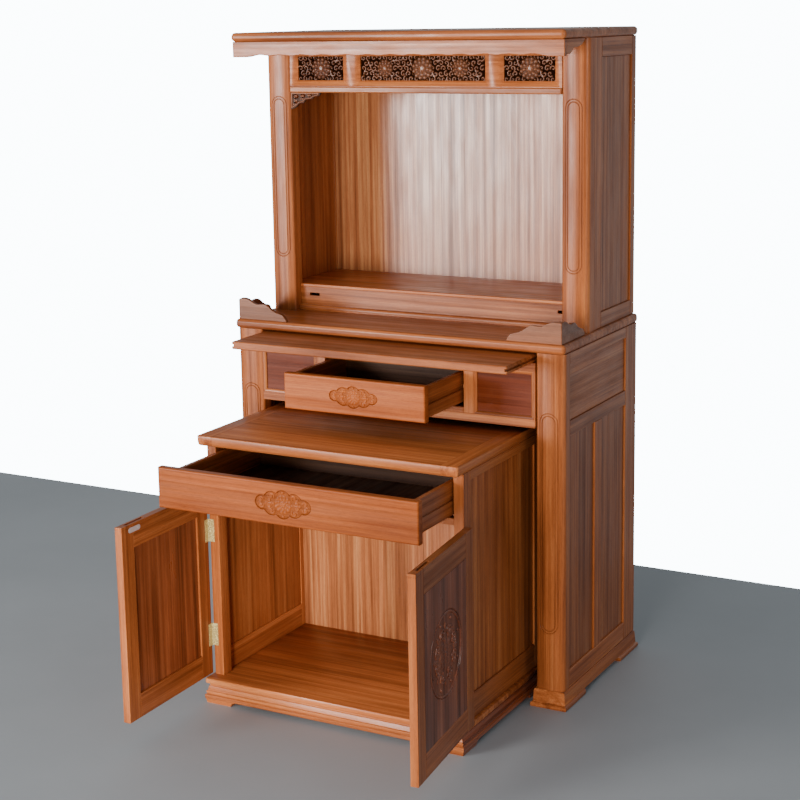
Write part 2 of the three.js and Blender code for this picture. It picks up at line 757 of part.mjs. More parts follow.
function valanceReturn() {
  const start = valanceFront + valanceThickness;
  const end = valanceFront + valanceReturnLength;
  const at = ([along, up]) => new THREE.Vector2(start + along * (end - start), valanceBottom + up * valanceDrop);
  const [flat, rise, bend, ledge, run, tail] = valanceReturnWave.map(at);
  const shape = new THREE.Shape();
  shape.moveTo(start, crownUnder);
  shape.lineTo(start, flat.y);
  shape.lineTo(flat.x, flat.y);
  shape.bezierCurveTo(rise.x, rise.y, bend.x, bend.y, ledge.x, ledge.y);
  shape.lineTo(run.x, run.y);
  shape.quadraticCurveTo(tail.x, tail.y, end, crownUnder);
  shape.closePath();
  return prismAlongX(shape, valanceHalf - valanceThickness, valanceHalf);
}
for (const [side, word] of sides) {
  piece(`valance_return_${word}`, mirrored(valanceReturn(), side), wood);
}

// Frieze: a moulded frame with three openings, the carved panels behind them, and the rail below
const friezeFront = caseSetback + friezeSetback;
const friezeRear = friezeFront + friezeThickness;
const friezeOpenings = [
  ['frieze_panel_left', -friezeOuterOuter, -friezeOuterInner],
  ['frieze_panel_middle', -friezeMiddleHalf, friezeMiddleHalf],
  ['frieze_panel_right', friezeOuterInner, friezeOuterOuter],
];

function friezeFrame() {
  const slab = box(-casePostInner, casePostInner, friezeFront, friezeRear, friezeBottom, crownUnder);
  const cuts = friezeOpenings.flatMap(([, x0, x1]) => [
    taperedCut(x0, x1, friezeOpeningBottom, friezeOpeningTop, friezeFront, friezeFront + friezeMouldingDepth,
      friezeMoulding - 1),
    box(x0, x1, friezeFront, friezeRear + 1, friezeOpeningBottom, friezeOpeningTop),
  ]);
  return cut(slab, ...cuts);
}
piece('frieze_frame', friezeFrame(), wood);

function friezePanel(x0, x1) {
  const middle = (x0 + x1) / 2;
  const centreZ = (friezeOpeningBottom + friezeOpeningTop) / 2;
  const height = friezeOpeningTop - friezeOpeningBottom;
  const face = friezeRear - friezePanelThickness;
  const ground = box(x0, x1, face, friezeRear, friezeOpeningBottom, friezeOpeningTop);
  const isMiddle = x0 < 0 && x1 > 0;
  const ornamentLength = height * (isMiddle ? 5.77 : 2.22);
  const relief = [...flower(0, centreZ, height * 0.42, 6, face, friezeRelief)];
  for (const [side] of sides) {
    if (isMiddle) {
      relief.push(...flower(side * height * 1.75, centreZ, height * 0.32, 6, face, friezeRelief * 0.9));
    }
    const scrollSpots = isMiddle ? [height * 0.9, height * 2.5] : [height * 0.7];
    scrollSpots.forEach((reach) => {
      relief.push(...scroll(side * reach, centreZ, height * 0.26, Math.PI / 2, side, 4, face, friezeRelief * 0.7));
    });
  }
  const stretch = (x1 - x0) / ornamentLength;
  return join(ground, ...relief.map((part) => part.scale(stretch, 1, 1).translate(middle, 0, 0)));
}
for (const [name, x0, x1] of friezeOpenings) {
  piece(name, friezePanel(x0, x1), darkWood);
}
piece('frieze_rail', box(-casePostInner, casePostInner, caseSetback + friezeRailSetback, friezeRear,
  friezeBottom - friezeRailHeight, friezeBottom), wood);

// Openwork bracket in the upper left corner of the niche
function cornerBracket() {
  const top = friezeBottom - friezeRailHeight;
  const left = -casePostInner;
  const edge = new THREE.SplineCurve([
    [1, 0], [0.94, 0.2], [0.78, 0.24], [0.7, 0.38], [0.5, 0.42], [0.42, 0.6], [0.26, 0.66], [0.16, 0.86], [0, 1],
  ].map(([along, down]) => new THREE.Vector2(left + along * bracketLength, top - down * bracketHeight)));
  const shape = new THREE.Shape([new THREE.Vector2(left, top), ...edge.getPoints(18)]);
  const holes = [[0.16, 0.24, 0.13, 0.15], [0.4, 0.2, 0.12, 0.14], [0.64, 0.16, 0.1, 0.1], [0.16, 0.56, 0.09, 0.12]];
  for (const [along, down, wide, tall] of holes) {
    shape.holes.push(ellipseShape(left + along * bracketLength, top - down * bracketHeight,
      wide * bracketLength * 0.8, tall * bracketHeight, 0, 7));
  }
  return prismAlongY(shape, friezeFront, friezeFront + bracketThickness);
}
piece('corner_bracket', cornerBracket(), darkWood);

// Niche floor, its riser with two finger slots, and the sill moulding
const floorFront = caseSetback + nicheFloorSetback;
const postRear = caseSetback + upperPostDepth;
const nicheFloorUnder = nicheFloorTop - nicheFloorThickness;
piece('niche_floor', join(
  box(-caseSideInner, caseSideInner, postRear, caseBackFront, nicheFloorUnder, nicheFloorTop),
  box(-casePostInner, casePostInner, floorFront, postRear + 1, nicheFloorUnder, nicheFloorTop),
), wood);

const riserFront = floorFront + riserSetback;
const riserSlots = slotCentres.map((x) => box(x - slotWidth / 2, Math.min(x + slotWidth / 2, casePostInner - 2),
  riserFront - 1, riserFront + riserThickness + 1, slotBottom, slotBottom + slotHeight));
piece('niche_riser', cut(box(-casePostInner, casePostInner, riserFront, riserFront + riserThickness, deskTop,
  nicheFloorUnder), ...riserSlots), wood);

function sill() {
  const rear = riserFront;
  const front = rear - sillDepth;
  const shape = new THREE.Shape();
  shape.moveTo(rear, deskTop);
  shape.lineTo(rear, deskTop + sillHeight);
  shape.lineTo(rear - 4, deskTop + sillHeight);
  shape.quadraticCurveTo(front, deskTop + sillHeight, front, deskTop + sillHeight * 0.5);
  shape.lineTo(front, deskTop);
  shape.closePath();
  return prismAlongX(shape, -casePostInner, casePostInner);
}
piece('niche_sill', sill(), wood);

// Pull-out cabinet: top with breadboard ends, framed sides, back, floor, plinth
function nestedTopBoard() {
  const board = edgedBoard(-nestedTopHalf, nestedTopHalf, nestedTopFront, nestedTopRear, nestedTopUnder,
    nestedTop, 8, 16);
  const lines = sides.map(([side]) => mirrored(
    box(nestedTopHalf - breadboardWidth - 1, nestedTopHalf - breadboardWidth + 1, nestedTopFront - 1,
      nestedTopRear + 1, nestedTop - 1.5, nestedTop + 1),
    side,
  ));
  return cut(board, ...lines);
}
piece('pullout_top', nestedTopBoard(), wood);

const largeBoxHalf = nestedStileInner - largeBoxGap;
const largeBoxBottom = largeFrontBottom + drawerBottomRise;
const largeBoxTop = largeFrontBottom + largeFrontHeight - 2 * drawerTopDrop;
const largeGrooveMid = (largeBoxBottom + largeBoxTop) / 2;

function nestedSide() {
  const stile = box(nestedStileInner, nestedBodyHalf, nestedFace, nestedFace + nestedStileDepth,
    nestedFloorTop, nestedTopUnder);
  const wall = box(nestedPanelInner, nestedBodyHalf, nestedFace + nestedStileDepth - 1, nestedRear,
    nestedFloorTop, nestedTopUnder);
  const recess = 5;
  const field = box(nestedBodyHalf - recess, nestedBodyHalf + 1, nestedFace + nestedStileDepth,
    nestedRear - nestedRearStile, nestedFloorTop + nestedBottomRail, nestedTopUnder - nestedTopRail);
  const rail = runner(largeBoxHalf - grooveDepth + runnerGap, nestedPanelInner + 1,
    nestedFace + nestedStileDepth, nestedBackFront, largeGrooveMid);
  return join(cut(join(stile, wall), field), rail);
}
for (const [side, word] of sides) {
  piece(`pullout_side_${word}`, mirrored(nestedSide(), side), wood);
}
piece('pullout_back', box(-nestedPanelInner, nestedPanelInner, nestedBackFront, nestedRear, nestedFloorTop,
  nestedTopUnder), insideWood);
piece('pullout_rail', box(-nestedStileInner, nestedStileInner, nestedFace, nestedFace + nestedRailDepth,
  nestedRailBottom, nestedRailBottom + nestedRailHeight), wood);

const nestedPlinthFront = nestedTopFront + nestedPlinthFrontInset;
piece('pullout_floor', edgedBoard(-nestedPlinthHalf, nestedPlinthHalf, nestedPlinthFront, nestedTopRear,
  nestedFloorUnder, nestedFloorTop, 5, 6, 2), wood);

function nestedPlinthPieces() {
  const half = nestedPlinthHalf - 6;
  const front = nestedPlinthFront + 6;
  const rear = nestedRear;
  const height = nestedFloorUnder;
  const ring = loft(nestedPlinthProfile
    .map(([share, flare]) => [
      [half + flare, rear, share * height],
      [-half - flare, rear, share * height],
      [-half - flare, front - flare, share * height],
      [half + flare, front - flare, share * height],
    ]));
  const hollow = box(-half + nestedPlinthWall, half - nestedPlinthWall, front + nestedPlinthWall, rear + 1,
    -1, height + 1);
  const arch = (a0, a1) => {
    const shape = new THREE.Shape();
    shape.moveTo(a0, -1);
    shape.quadraticCurveTo(a0 + nestedArchLean, plinthArchHeight, a0 + nestedArchShoulder, plinthArchHeight);
    shape.lineTo(a1 - nestedArchShoulder, plinthArchHeight);
    shape.quadraticCurveTo(a1 - nestedArchLean, plinthArchHeight, a1, -1);
    shape.closePath();
    return shape;
  };
  const foot = nestedFootLength;
  const frontArch = prismAlongY(arch(-half + foot, half - foot), front - 20, front + nestedPlinthWall + 5);
  const sideArch = prismAlongX(arch(front + foot, rear - foot), -half - 20, half + 20);
  const skirt = cut(ring, hollow, frontArch, sideArch);
  const reach = 60;
  const slit = 0.3;
  const wedge = prismAlongZ(outline([[-half - reach, front - reach], [half + reach, front - reach],
    [half - reach, front + reach], [-half + reach, front + reach]]), -2, height + 2);
  const sideRegion = prismAlongZ(outline([[half + reach, front - reach + slit * 2], [half + reach, rear + 5],
    [half - reach, rear + 5], [half - reach, front + reach + slit * 2]]), -2, height + 2);
  return {
    front: common(skirt, wedge),
    side: common(skirt, sideRegion),
  };
}
const nestedPlinth = nestedPlinthPieces();
piece('pullout_plinth_front', nestedPlinth.front, wood);
for (const [side, word] of sides) {
  piece(`pullout_plinth_${word}`, mirrored(nestedPlinth.side, side), wood);
}

drawer('large_drawer', {
  frontHalf: largeFrontHalf,
  frontBottom: largeFrontBottom,
  frontTop: largeFrontBottom + largeFrontHeight,
  boxHalf: largeBoxHalf,
  boxBottom: largeBoxBottom,
  boxTop: largeBoxTop,
  front: nestedFace - drawerFrontThickness - largeDrawerPulled,
  length: largeDrawerLength,
  width: largeMedallionWidth,
  height: largeMedallionHeight,
});

// Doors, drawn closed round their pin and then swung open: a flat framed face with a round medallion
function doorMedallion(centreX, centreZ, faceY) {
  const r = doorMedallionRadius;
  const disc = (inset) => ellipseShape(centreX, centreZ, r - inset, r - inset, 0, medallionSteps);
  const field = prismAlongY(disc(0), faceY - 1, faceY + medallionSink);
  const rim = disc(medallionLine);
  rim.holes.push(disc(medallionLine * 3));
  const ringBand = prismAlongY(rim, faceY + medallionSink * 0.3, faceY + medallionSink + 1);
  const floor = faceY + medallionSink;
  const relief = [ringBand, ...flower(centreX, centreZ, r * 0.34, 6, floor, medallionSink + 0.8)];
  const around = 8;
  for (let i = 0; i < around; i += 1) {
    const angle = ((i + 0.5) / around) * 2 * Math.PI;
    const x = centreX + r * 0.62 * Math.cos(angle);
    const z = centreZ + r * 0.62 * Math.sin(angle);
    relief.push(boss(x, z, r * 0.17, r * 0.11, angle, floor, medallionSink + 0.4));
    relief.push(boss(centreX + r * 0.76 * Math.cos(angle + Math.PI / around),
      centreZ + r * 0.76 * Math.sin(angle + Math.PI / around), r * 0.09, r * 0.16,
      angle + Math.PI / around, floor, medallionSink + 0.4));
  }
  return { field, relief };
}

function door() {
  const hingeEdge = -pinOut;
  const freeEdge = hingeEdge - doorWidth;
  const inner = -doorGap / 2;
  const outer = inner - doorThickness;
  const slab = box(freeEdge, hingeEdge, outer, inner, doorBottom, doorTop);
  const x0 = freeEdge + doorStile;
  const x1 = hingeEdge - doorStile;
  const z0 = doorBottom + doorRail;
  const z1 = doorTop - doorRail;
  const line = doorLine / 2;
  const panelLine = cut(
    box(x0 - line, x1 + line, outer - 1, outer + 2, z0 - line, z1 + line),
    box(x0 + line, x1 - line, outer - 2, outer + 3, z0 + line, z1 - line),
  );
  const recess = box(x0, x1, inner - doorRecess, inner + 1, z0, z1);
  const slot = box(freeEdge + fingerSlotFromEdge, freeEdge + fingerSlotFromEdge + fingerSlotLength,
    (outer + inner) / 2 - fingerSlotWidth / 2, (outer + inner) / 2 + fingerSlotWidth / 2,
    doorTop - fingerSlotDepth, doorTop + 1);
  const { field, relief } = doorMedallion((x0 + x1) / 2, (z0 + z1) / 2, outer);
  return join(cut(slab, panelLine, recess, slot, field), ...relief);
}

for (const [side, word] of sides) {
  const hung = new THREE.Group();
  hung.position.set(side * pinX, pinY, 0);
  const opened = side > 0 ? rightDoorOpen : leftDoorOpen;
  hung.rotation.z = THREE.MathUtils.degToRad(side * opened);
  cabinet.add(hung);
  piece(`door_${word}`, mirrored(door(), side), wood, hung);
}

// Butt hinges: the barrel on the pin and the leaf on the cabinet's face
function hinge(bottom) {
  const barrel = new THREE.CylinderGeometry(knuckleRadius, knuckleRadius, hingeHeight, 10)
    .rotateX(Math.PI / 2)
    .translate(pinX, pinY, bottom + hingeHeight / 2);
  const leaf = box(nestedBodyHalf - hingeLeafWidth, pinX, nestedFace - hingeLeafThickness, nestedFace, bottom,
    bottom + hingeHeight);
  return join(barrel, leaf);
}
for (const [side, word] of sides) {
  piece(`hinge_${word}_upper`, mirrored(hinge(upperHingeBottom), side), brass);
  piece(`hinge_${word}_lower`, mirrored(hinge(lowerHingeBottom), side), brass);
}

// The frame's origin: on the floor, under the middle of the whole cabinet as it stands opened
function doorReach(opened) {
  const swing = THREE.MathUtils.degToRad(opened);
  const near = doorGap / 2;
  const thickness = Math.max(near * Math.cos(swing), (near + doorThickness) * Math.cos(swing));
  return (pinOut + doorWidth) * Math.sin(swing) + thickness;
}
const frontmost = pinY - Math.max(doorReach(leftDoorOpen), doorReach(rightDoorOpen));
const rearmost = bodyDepth - 4 + plinthFlare;
cabinet.position.y = -(frontmost + rearmost) / 2;

export default cabinet;
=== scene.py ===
"""Looks for the household altar cabinet: lacquered hardwood boards with carved panels and brass hinges."""
import json
import math
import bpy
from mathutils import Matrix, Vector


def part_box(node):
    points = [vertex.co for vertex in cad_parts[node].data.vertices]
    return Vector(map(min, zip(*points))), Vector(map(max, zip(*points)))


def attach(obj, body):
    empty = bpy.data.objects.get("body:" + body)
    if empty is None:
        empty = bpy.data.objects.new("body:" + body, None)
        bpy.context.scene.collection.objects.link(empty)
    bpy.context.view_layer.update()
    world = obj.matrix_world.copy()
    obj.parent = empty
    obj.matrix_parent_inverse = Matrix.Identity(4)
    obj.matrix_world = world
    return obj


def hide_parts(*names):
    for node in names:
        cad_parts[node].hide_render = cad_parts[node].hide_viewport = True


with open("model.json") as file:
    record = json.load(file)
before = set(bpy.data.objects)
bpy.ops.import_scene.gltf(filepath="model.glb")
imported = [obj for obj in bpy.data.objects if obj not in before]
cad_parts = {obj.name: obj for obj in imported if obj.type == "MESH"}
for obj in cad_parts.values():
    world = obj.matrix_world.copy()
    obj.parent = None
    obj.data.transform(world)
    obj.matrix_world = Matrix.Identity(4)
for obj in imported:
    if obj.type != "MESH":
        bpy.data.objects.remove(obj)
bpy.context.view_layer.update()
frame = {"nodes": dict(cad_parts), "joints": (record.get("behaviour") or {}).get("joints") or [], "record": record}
import zlib

import bmesh
import bpy
import numpy as np
from mathutils import Matrix, Vector

MM = 0.001

# Sizes that the frame's boxes don't give, in metres: first the standing cabinet's
SIDE_RECESS = 0.005
LOWER_MID_RAIL = (0.785, 0.828)
LOWER_RAILS = (0.054, 0.033)
LOWER_REAR_STILE = 0.087
LOWER_MUNTIN = 0.054
CASE_STILES = (0.055, 0.033)
CASE_RAILS = (0.044, 0.054)
LOWER_OVAL = (0.054, 0.220, 0.854)
UPPER_OVAL = (0.050, 1.214, 1.698)
OVAL_STEP = 0.0075
OVAL_LINE = 0.0020
# The painted shade in the posts' oval grooves, as a depth share
GROOVE_SHADE = 0.45
POST_SWELL = 0.008
FIXED_FIELD = (0.266, 0.431, 0.841, 0.958)
OPENING_HALF = 0.2253
OPENING_GAP = 0.0028
MOULDING_WIDTH = 0.009
MOULDING_DEPTH = 0.006
FRIEZE_FACE = 0.0105
FRIEZE_THICKNESS = 0.0085
BRACKET_STRAND = 0.0024
LACQUER_EDGE = 0.0009

# The pull-out cabinet, the drawers and the doors
BREADBOARD = 0.050
PULLOUT_WALL = 0.018
PULLOUT_FRONT_STILE = 0.030
PULLOUT_STILES = (0.040, 0.030)
PULLOUT_RAILS = (0.070, 0.025)
RUNNER_HALF = 0.006
DRAWER_FACE = 0.022
DOOR_STILE = 0.052
DOOR_RAIL = 0.067
DOOR_THICKNESS = 0.022
DOOR_RECESS = 0.005
DOOR_PIN_GAP = 0.0032
DOOR_FACE_GAP = 0.001
DOOR_WIDTH = 0.400
DOOR_HEIGHTS = (0.0794, 0.624)
DOOR_OPEN = {"left": 89.0, "right": 96.0}
SLOT_START, SLOT_END = 0.030, 0.108
SLOT_WIDTH = 0.006
SLOT_DEPTH = 0.009
MEDALLION_RADIUS = 0.115

# The catch plate and the hinges
CATCH_INSET = (0.056, 0.016)
CATCH_HALF = (0.026, 0.0070)
CATCH_SCREW = 0.017
SCREW_RADIUS = 0.0028
HINGE_LEAF = 0.015
LEAF_START = 0.0031
FIXED_LEAF = 0.001
TURNED_LEAF = 0.0007
FIXED_SCREW = 0.0065
TURNED_SCREW = 0.0115
HEAD_RADIUS = 0.0027
HEAD_RISE = 0.00012
KNUCKLES = 5
KNUCKLE_RADIUS = 0.0029
KNUCKLE_GAP = 0.0003

# The carving and its grid, in millimetres
FRIEZE_RISE = 6.5
FRIEZE_STEP = 1.0
DRAWER_ROUND = 4.0
DRAWER_STEP = 0.8
DRAWER_SHADE = 3.6
DOOR_SHADE = 16.0

SIDES = (("left", -1), ("right", 1))


def srgb(red, green, blue):
    """A screen colour of 0 to 255 as linear RGBA."""
    def linear(value):
        share = value / 255
        return share / 12.92 if share <= 0.04045 else ((share + 0.055) / 1.055) ** 2.4
    return (linear(red), linear(green), linear(blue), 1.0)


# Materials

class Nodes:
    """A short way to write a node tree."""

    def __init__(self, name):
        self.material = bpy.data.materials.new(name)
        self.material.use_nodes = True
        self.tree = self.material.node_tree
        self.shader = self.tree.nodes["Principled BSDF"]

    def add(self, kind, inputs=(), **settings):
        node = self.tree.nodes.new("ShaderNode" + kind)
        for key, value in settings.items():
            setattr(node, key, value)
        for socket, value in dict(inputs).items():
            self.put(node.inputs[socket], value)
        return node

    def surface(self, inputs):
        for socket, value in inputs.items():
            self.put(self.shader.inputs[socket], value)
        return self.material

    def put(self, socket, value):
        if isinstance(value, bpy.types.NodeSocket):
            self.tree.links.new(value, socket)
        else:
            socket.default_value = value

    def math(self, operation, first, second=0.0):
        node = self.add("Math", {0: first, 1: second}, operation=operation)
        return node.outputs[0]

    def stretch(self, vector, scale):
        node = self.add("VectorMath", {0: vector, 1: scale}, operation="MULTIPLY")
        return node.outputs[0]

    def noise(self, vector, scale, detail=2.0, roughness=0.5):
        node = self.add("TexNoise", {"Vector": self.stretch(vector, scale), "Scale": 1.0, "Detail": detail,
                                     "Roughness": roughness})
        return node.outputs["Fac"]

    def remap(self, value, low, high, start=0.0, end=1.0):
        node = self.add("MapRange", {"Value": value, "From Min": low, "From Max": high, "To Min": start,
                                     "To Max": end})
        return node.outputs["Result"]

    def mix(self, share, first, second):
        node = self.add("Mix", data_type="RGBA")
        self.put(node.inputs["Factor"], share)
        self.put(node.inputs[6], first)
        self.put(node.inputs[7], second)
        return node.outputs[2]


def wood(name, dark, middle, light, plank=0.105, ribbon=1.0, roughness=0.42, coat=0.06, gloss=0.32,
         recess_shade=0.55):
    """Straight-grained hardwood. The grain attribute holds across, through and along the board."""
    n = Nodes(name)
    grain = n.add("Attribute", attribute_name="grain").outputs["Vector"]
    tone = n.add("Attribute", attribute_name="tone").outputs["Fac"]
    depth = n.add("Attribute", attribute_name="depth").outputs["Fac"]
    across = n.add("SeparateXYZ", {0: grain}).outputs["X"]
    number = n.math("FLOOR", n.math("DIVIDE", across, plank))
    chance = n.add("TexWhiteNoise", {"W": number}, noise_dimensions="1D").outputs["Value"]
    slip = n.add("CombineXYZ", {"X": 0.0, "Y": 0.0, "Z": n.math("MULTIPLY", chance, 9.0)})
    lane = n.add("VectorMath", {0: grain, 1: slip.outputs[0]}, operation="ADD").outputs[0]

    bands = n.noise(lane, (62, 30, 0.9), 2.0, 0.55)
    streaks = n.noise(lane, (260, 160, 5.0), 3.0, 0.6)
    fibres = n.noise(lane, (560, 420, 42), 3.0, 0.7)
    clouds = n.noise(lane, (6, 6, 2.2), 2.0)
    pores = n.noise(lane, (1100, 800, 90), 2.0, 0.6)

    figure = n.math("ADD", n.remap(bands, 0.32, 0.68, 0.0, 0.50 * ribbon),
                    n.remap(streaks, 0.3, 0.7, 0.0, 0.30))
    figure = n.math("ADD", figure, n.remap(clouds, 0.3, 0.7, 0.0, 0.24))
    ramp = n.add("ValToRGB", {"Fac": figure})
    low, high = ramp.color_ramp.elements
    low.position, low.color = 0.16, srgb(*dark)
    high.position, high.color = 0.90, srgb(*light)
    ramp.color_ramp.elements.new(0.52).color = srgb(*middle)

    level = n.math("ADD", n.remap(chance, 0.0, 1.0, 0.87, 1.13), n.math("MULTIPLY", tone, 0.13))
    level = n.math("MULTIPLY", level, n.remap(fibres, 0.30, 0.70, 0.86, 1.12))
    level = n.math("MULTIPLY", level, n.remap(pores, 0.58, 0.70, 1.0, 0.70))
    # Painted shade: the depth share darkens sunk points, down to the last factor at full depth
    level = n.math("MULTIPLY", level, n.remap(depth, 0.0, 1.0, 1.0, recess_shade))
    colour = n.add("VectorMath", {0: ramp.outputs["Color"], "Scale": level}, operation="SCALE").outputs[0]

    shine = n.remap(n.noise(lane, (40, 40, 9), 3.0), 0.3, 0.7, roughness - 0.05, roughness + 0.08)
    glint = n.remap(bands, 0.34, 0.66, 0.62, 1.16)
    bump = n.add("Bump", {"Strength": 0.22, "Distance": 0.0004,
                          "Height": n.math("SUBTRACT", fibres, n.math("MULTIPLY", pores, 0.6))})
    # Sunk points also get a weaker coat and specular as painted shade, and a rougher surface
    return n.surface({
        "Base Color": colour, "Normal": bump.outputs["Normal"], "Coat Roughness": 0.3,
        "Roughness": n.math("ADD", shine, n.math("MULTIPLY", depth, 0.2)),
        "Coat Weight": n.math("MULTIPLY", n.remap(depth, 0.0, 0.6, coat, 0.0), glint),
        "Specular IOR Level": n.math("MULTIPLY", n.remap(depth, 0.0, 1.0, gloss, 0.0), glint)})


def brass(name):
    """Dull yellow brass, a little spotted, with brushed lines."""
    n = Nodes(name)
    place = n.add("TexCoord").outputs["Object"]
    spots = n.noise(place, (360, 360, 360), 4.0, 0.75)
    lines = n.noise(place, (3000, 3000, 120), 2.0)
    worn = n.mix(n.remap(spots, 0.42, 0.58), srgb(244, 226, 160), srgb(168, 138, 78))
    bump = n.add("Bump", {"Strength": 0.2, "Distance": 0.0002, "Height": lines})
    return n.surface({"Base Color": worn, "Metallic": 0.35, "Normal": bump.outputs["Normal"],
                      "Roughness": n.remap(spots, 0.3, 0.7, 0.3, 0.5)})


def steel(name):
    """Grey plated steel for the small catch."""
    n = Nodes(name)
    place = n.add("TexCoord").outputs["Object"]
    spots = n.noise(place, (300, 300, 300), 4.0, 0.7)
    return n.surface({"Base Color": n.mix(spots, srgb(186, 186, 186), srgb(232, 232, 234)), "Metallic": 0.4,
                      "Roughness": n.remap(spots, 0.3, 0.7, 0.3, 0.45)})


LACQUERED = wood("lacquered_hardwood", (120, 60, 28), (166, 91, 46), (198, 122, 68), ribbon=0.7,
                 roughness=0.34, coat=0.0, gloss=0.3)
RIBBON = wood("ribbon_hardwood", (108, 57, 31), (156, 92, 54), (196, 132, 84), plank=0.085, roughness=0.34,
              coat=0.25, gloss=0.6)
DEEP = wood("deep_red_hardwood", (86, 40, 20), (132, 65, 35), (174, 96, 56), plank=0.075, ribbon=0.8,
            roughness=0.32, coat=0.2, gloss=0.45, recess_shade=0.7)
DRAWER = wood("drawer_hardwood", (132, 62, 24), (162, 82, 34), (186, 104, 50), ribbon=0.5, roughness=0.36,
              coat=0.0, gloss=0.2)
# Darker panel wood as painted shade under the offering board
SHADED_PANEL = wood("shaded_panel_hardwood", (86, 34, 14), (110, 46, 20), (134, 62, 30), plank=0.075, ribbon=0.5,
             roughness=0.4, coat=0.0, gloss=0.2, recess_shade=0.7)
# A darker copy of the wood as painted shade, on the galleries and the bracket's strands
SHADE_WOOD = wood("painted_shade_hardwood", (110, 62, 38), (138, 82, 52), (164, 104, 68), ribbon=0.3, roughness=0.36,
            coat=0.0, gloss=0.3)
# Its deep ground is painted nearly black as shade between the carving
CARVED = wood("carved_hardwood", (96, 50, 28), (140, 84, 52), (184, 128, 88), ribbon=0.3, roughness=0.3,
              coat=0.3, gloss=0.5, recess_shade=0.05)
INSIDE = wood("shaded_hardwood", (60, 36, 22), (88, 54, 34), (112, 72, 46), roughness=0.5, coat=0.0)
PLAIN = wood("plain_hardwood", (118, 72, 40), (168, 112, 66), (204, 150, 98), roughness=0.5, coat=0.0)
BRASS = brass("hinge_brass")
STEEL = steel("catch_steel")


# Meshes with a grain direction

def seeded(word):
    return np.random.default_rng(zlib.crc32(word.encode()))


def along(points, order, word):
    """Board coordinates: order names the axes across, through and along the board."""
    picked = np.asarray(points, float)[:, ["xyz".index(axis) for axis in order]]
    return picked + seeded(word).uniform(1.0, 20.0, 3)


def walls(count, levels, ring=False):
    """Four-sided faces between the levels of a drum, each level a loop of count points."""
    return [(a * count + k, a * count + (k + 1) % count, b * count + (k + 1) % count, b * count + k)
            for a, b in ((i, (i + 1) % levels) for i in range(levels if ring else levels - 1))
            for k in range(count)]


def caps(count, levels):
    """The first and the last level of a drum as faces."""
    return [tuple(range(count)), tuple(range(levels * count - 1, (levels - 1) * count - 1, -1))]


class Boards:
    """Boards of one piece, each with its own grain, gathered into one mesh."""

    def __init__(self):
        self.points = np.zeros((0, 3))
        self.faces = []
        self.grain = np.zeros((0, 3))
        self.tone = np.zeros(0)
        self.depth = np.zeros(0)

    def add(self, points, faces, order, word, depth=None):
        points = np.asarray(points, float)
        start = len(self.points)
        self.points = np.vstack([self.points, points])
        self.faces += [tuple(start + i for i in face) for face in faces]
        self.grain = np.vstack([self.grain, along(points, order, word)])
        self.tone = np.append(self.tone, np.full(len(points), seeded(word + "tone").uniform(-1, 1)))
        self.depth = np.append(self.depth, np.zeros(len(points)) if depth is None else depth)
        return self

    def block(self, x, y, z, order, word):
        corners = [(a, b, c) for c in sorted(z) for b in sorted(y) for a in sorted(x)]
        faces = [(0, 2, 3, 1), (4, 5, 7, 6), (0, 1, 5, 4), (2, 6, 7, 3), (0, 4, 6, 2), (1, 3, 7, 5)]
        return self.add(corners, faces, order, word)

    def prism(self, outline, axis, ends, order, word):
        """An outline in the other two axes, drawn out along axis."""
        at = "xyz".index(axis)
        points = [(*p[:at], value, *p[at:]) for value in ends for p in outline]
        return self.add(points, caps(len(outline), 2) + walls(len(outline), 2), order, word)

    def mesh(self, name):
        mesh = bpy.data.meshes.new(name)
        mesh.from_pydata([tuple(p) for p in self.points], [], self.faces)
        self.write(mesh)
        tidy = bmesh.new()
        tidy.from_mesh(mesh)
        bmesh.ops.recalc_face_normals(tidy, faces=tidy.faces)
        tidy.to_mesh(mesh)
        tidy.free()
        return mesh

    def write(self, mesh):
        for name, kind, values in (("grain", "FLOAT_VECTOR", self.grain), ("tone", "FLOAT", self.tone),
                                   ("depth", "FLOAT", self.depth)):
            attribute = mesh.attributes.get(name) or mesh.attributes.new(name, kind, "POINT")
            field = "vector" if kind == "FLOAT_VECTOR" else "value"
            attribute.data.foreach_set(field, np.ascontiguousarray(values, np.float32).ravel())


def placed(name, data):
    """A new object in the scene."""
    thing = bpy.data.objects.new(name, data)
    bpy.context.scene.collection.objects.link(thing)
    return thing


def show(name, mesh, material, body, nodes=(), edge=LACQUER_EDGE, segments=2, crease=32.0):
    """Puts a mesh in the scene as a piece that rides on a body."""
    piece = placed(name, mesh)
    mesh.materials.clear()
    mesh.materials.append(material)
    mesh.polygons.foreach_set("use_smooth", [True] * len(mesh.polygons))
    mesh.set_sharp_from_angle(angle=math.radians(crease))
    if edge:
        bevel = piece.modifiers.new("edge", "BEVEL")
        bevel.width = edge
        bevel.segments = segments
        bevel.limit_method = "ANGLE"
        bevel.angle_limit = math.radians(crease)
        bevel.harden_normals = True
    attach(piece, body)
    if nodes:
        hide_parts(*nodes)
    return piece


def body_named(node):
    return next(name for name, members in frame["record"]["behaviour"]["bodies"].items() if node in members)


def dress(node, order, material=LACQUERED, edge=LACQUER_EDGE, segments=2, crease=32.0):
    """The CAD board itself with eased edges and its own grain."""
    tidy = bmesh.new()
    tidy.from_mesh(frame["nodes"][node].data)
    bmesh.ops.remove_doubles(tidy, verts=tidy.verts, dist=2e-6)
    bmesh.ops.dissolve_limit(tidy, angle_limit=math.radians(0.6), verts=tidy.verts, edges=tidy.edges)
    tidy.normal_update()
    mesh = bpy.data.meshes.new(node + "_board")
    tidy.to_mesh(mesh)
    tidy.free()
    Boards().add([v.co for v in mesh.vertices], [], order, node).write(mesh)
    return show(node + "_board", mesh, material, body_named(node), (node,), edge, segments, crease)


def soft_board(node, order, radius, segments=6):
    """A board with half-round edges, the size of its CAD node."""
    boards = Boards().block(*zip(*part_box(node)), order, node)
    return show(node + "_board", boards.mesh(node), LACQUERED, body_named(node), (node,), radius, segments)


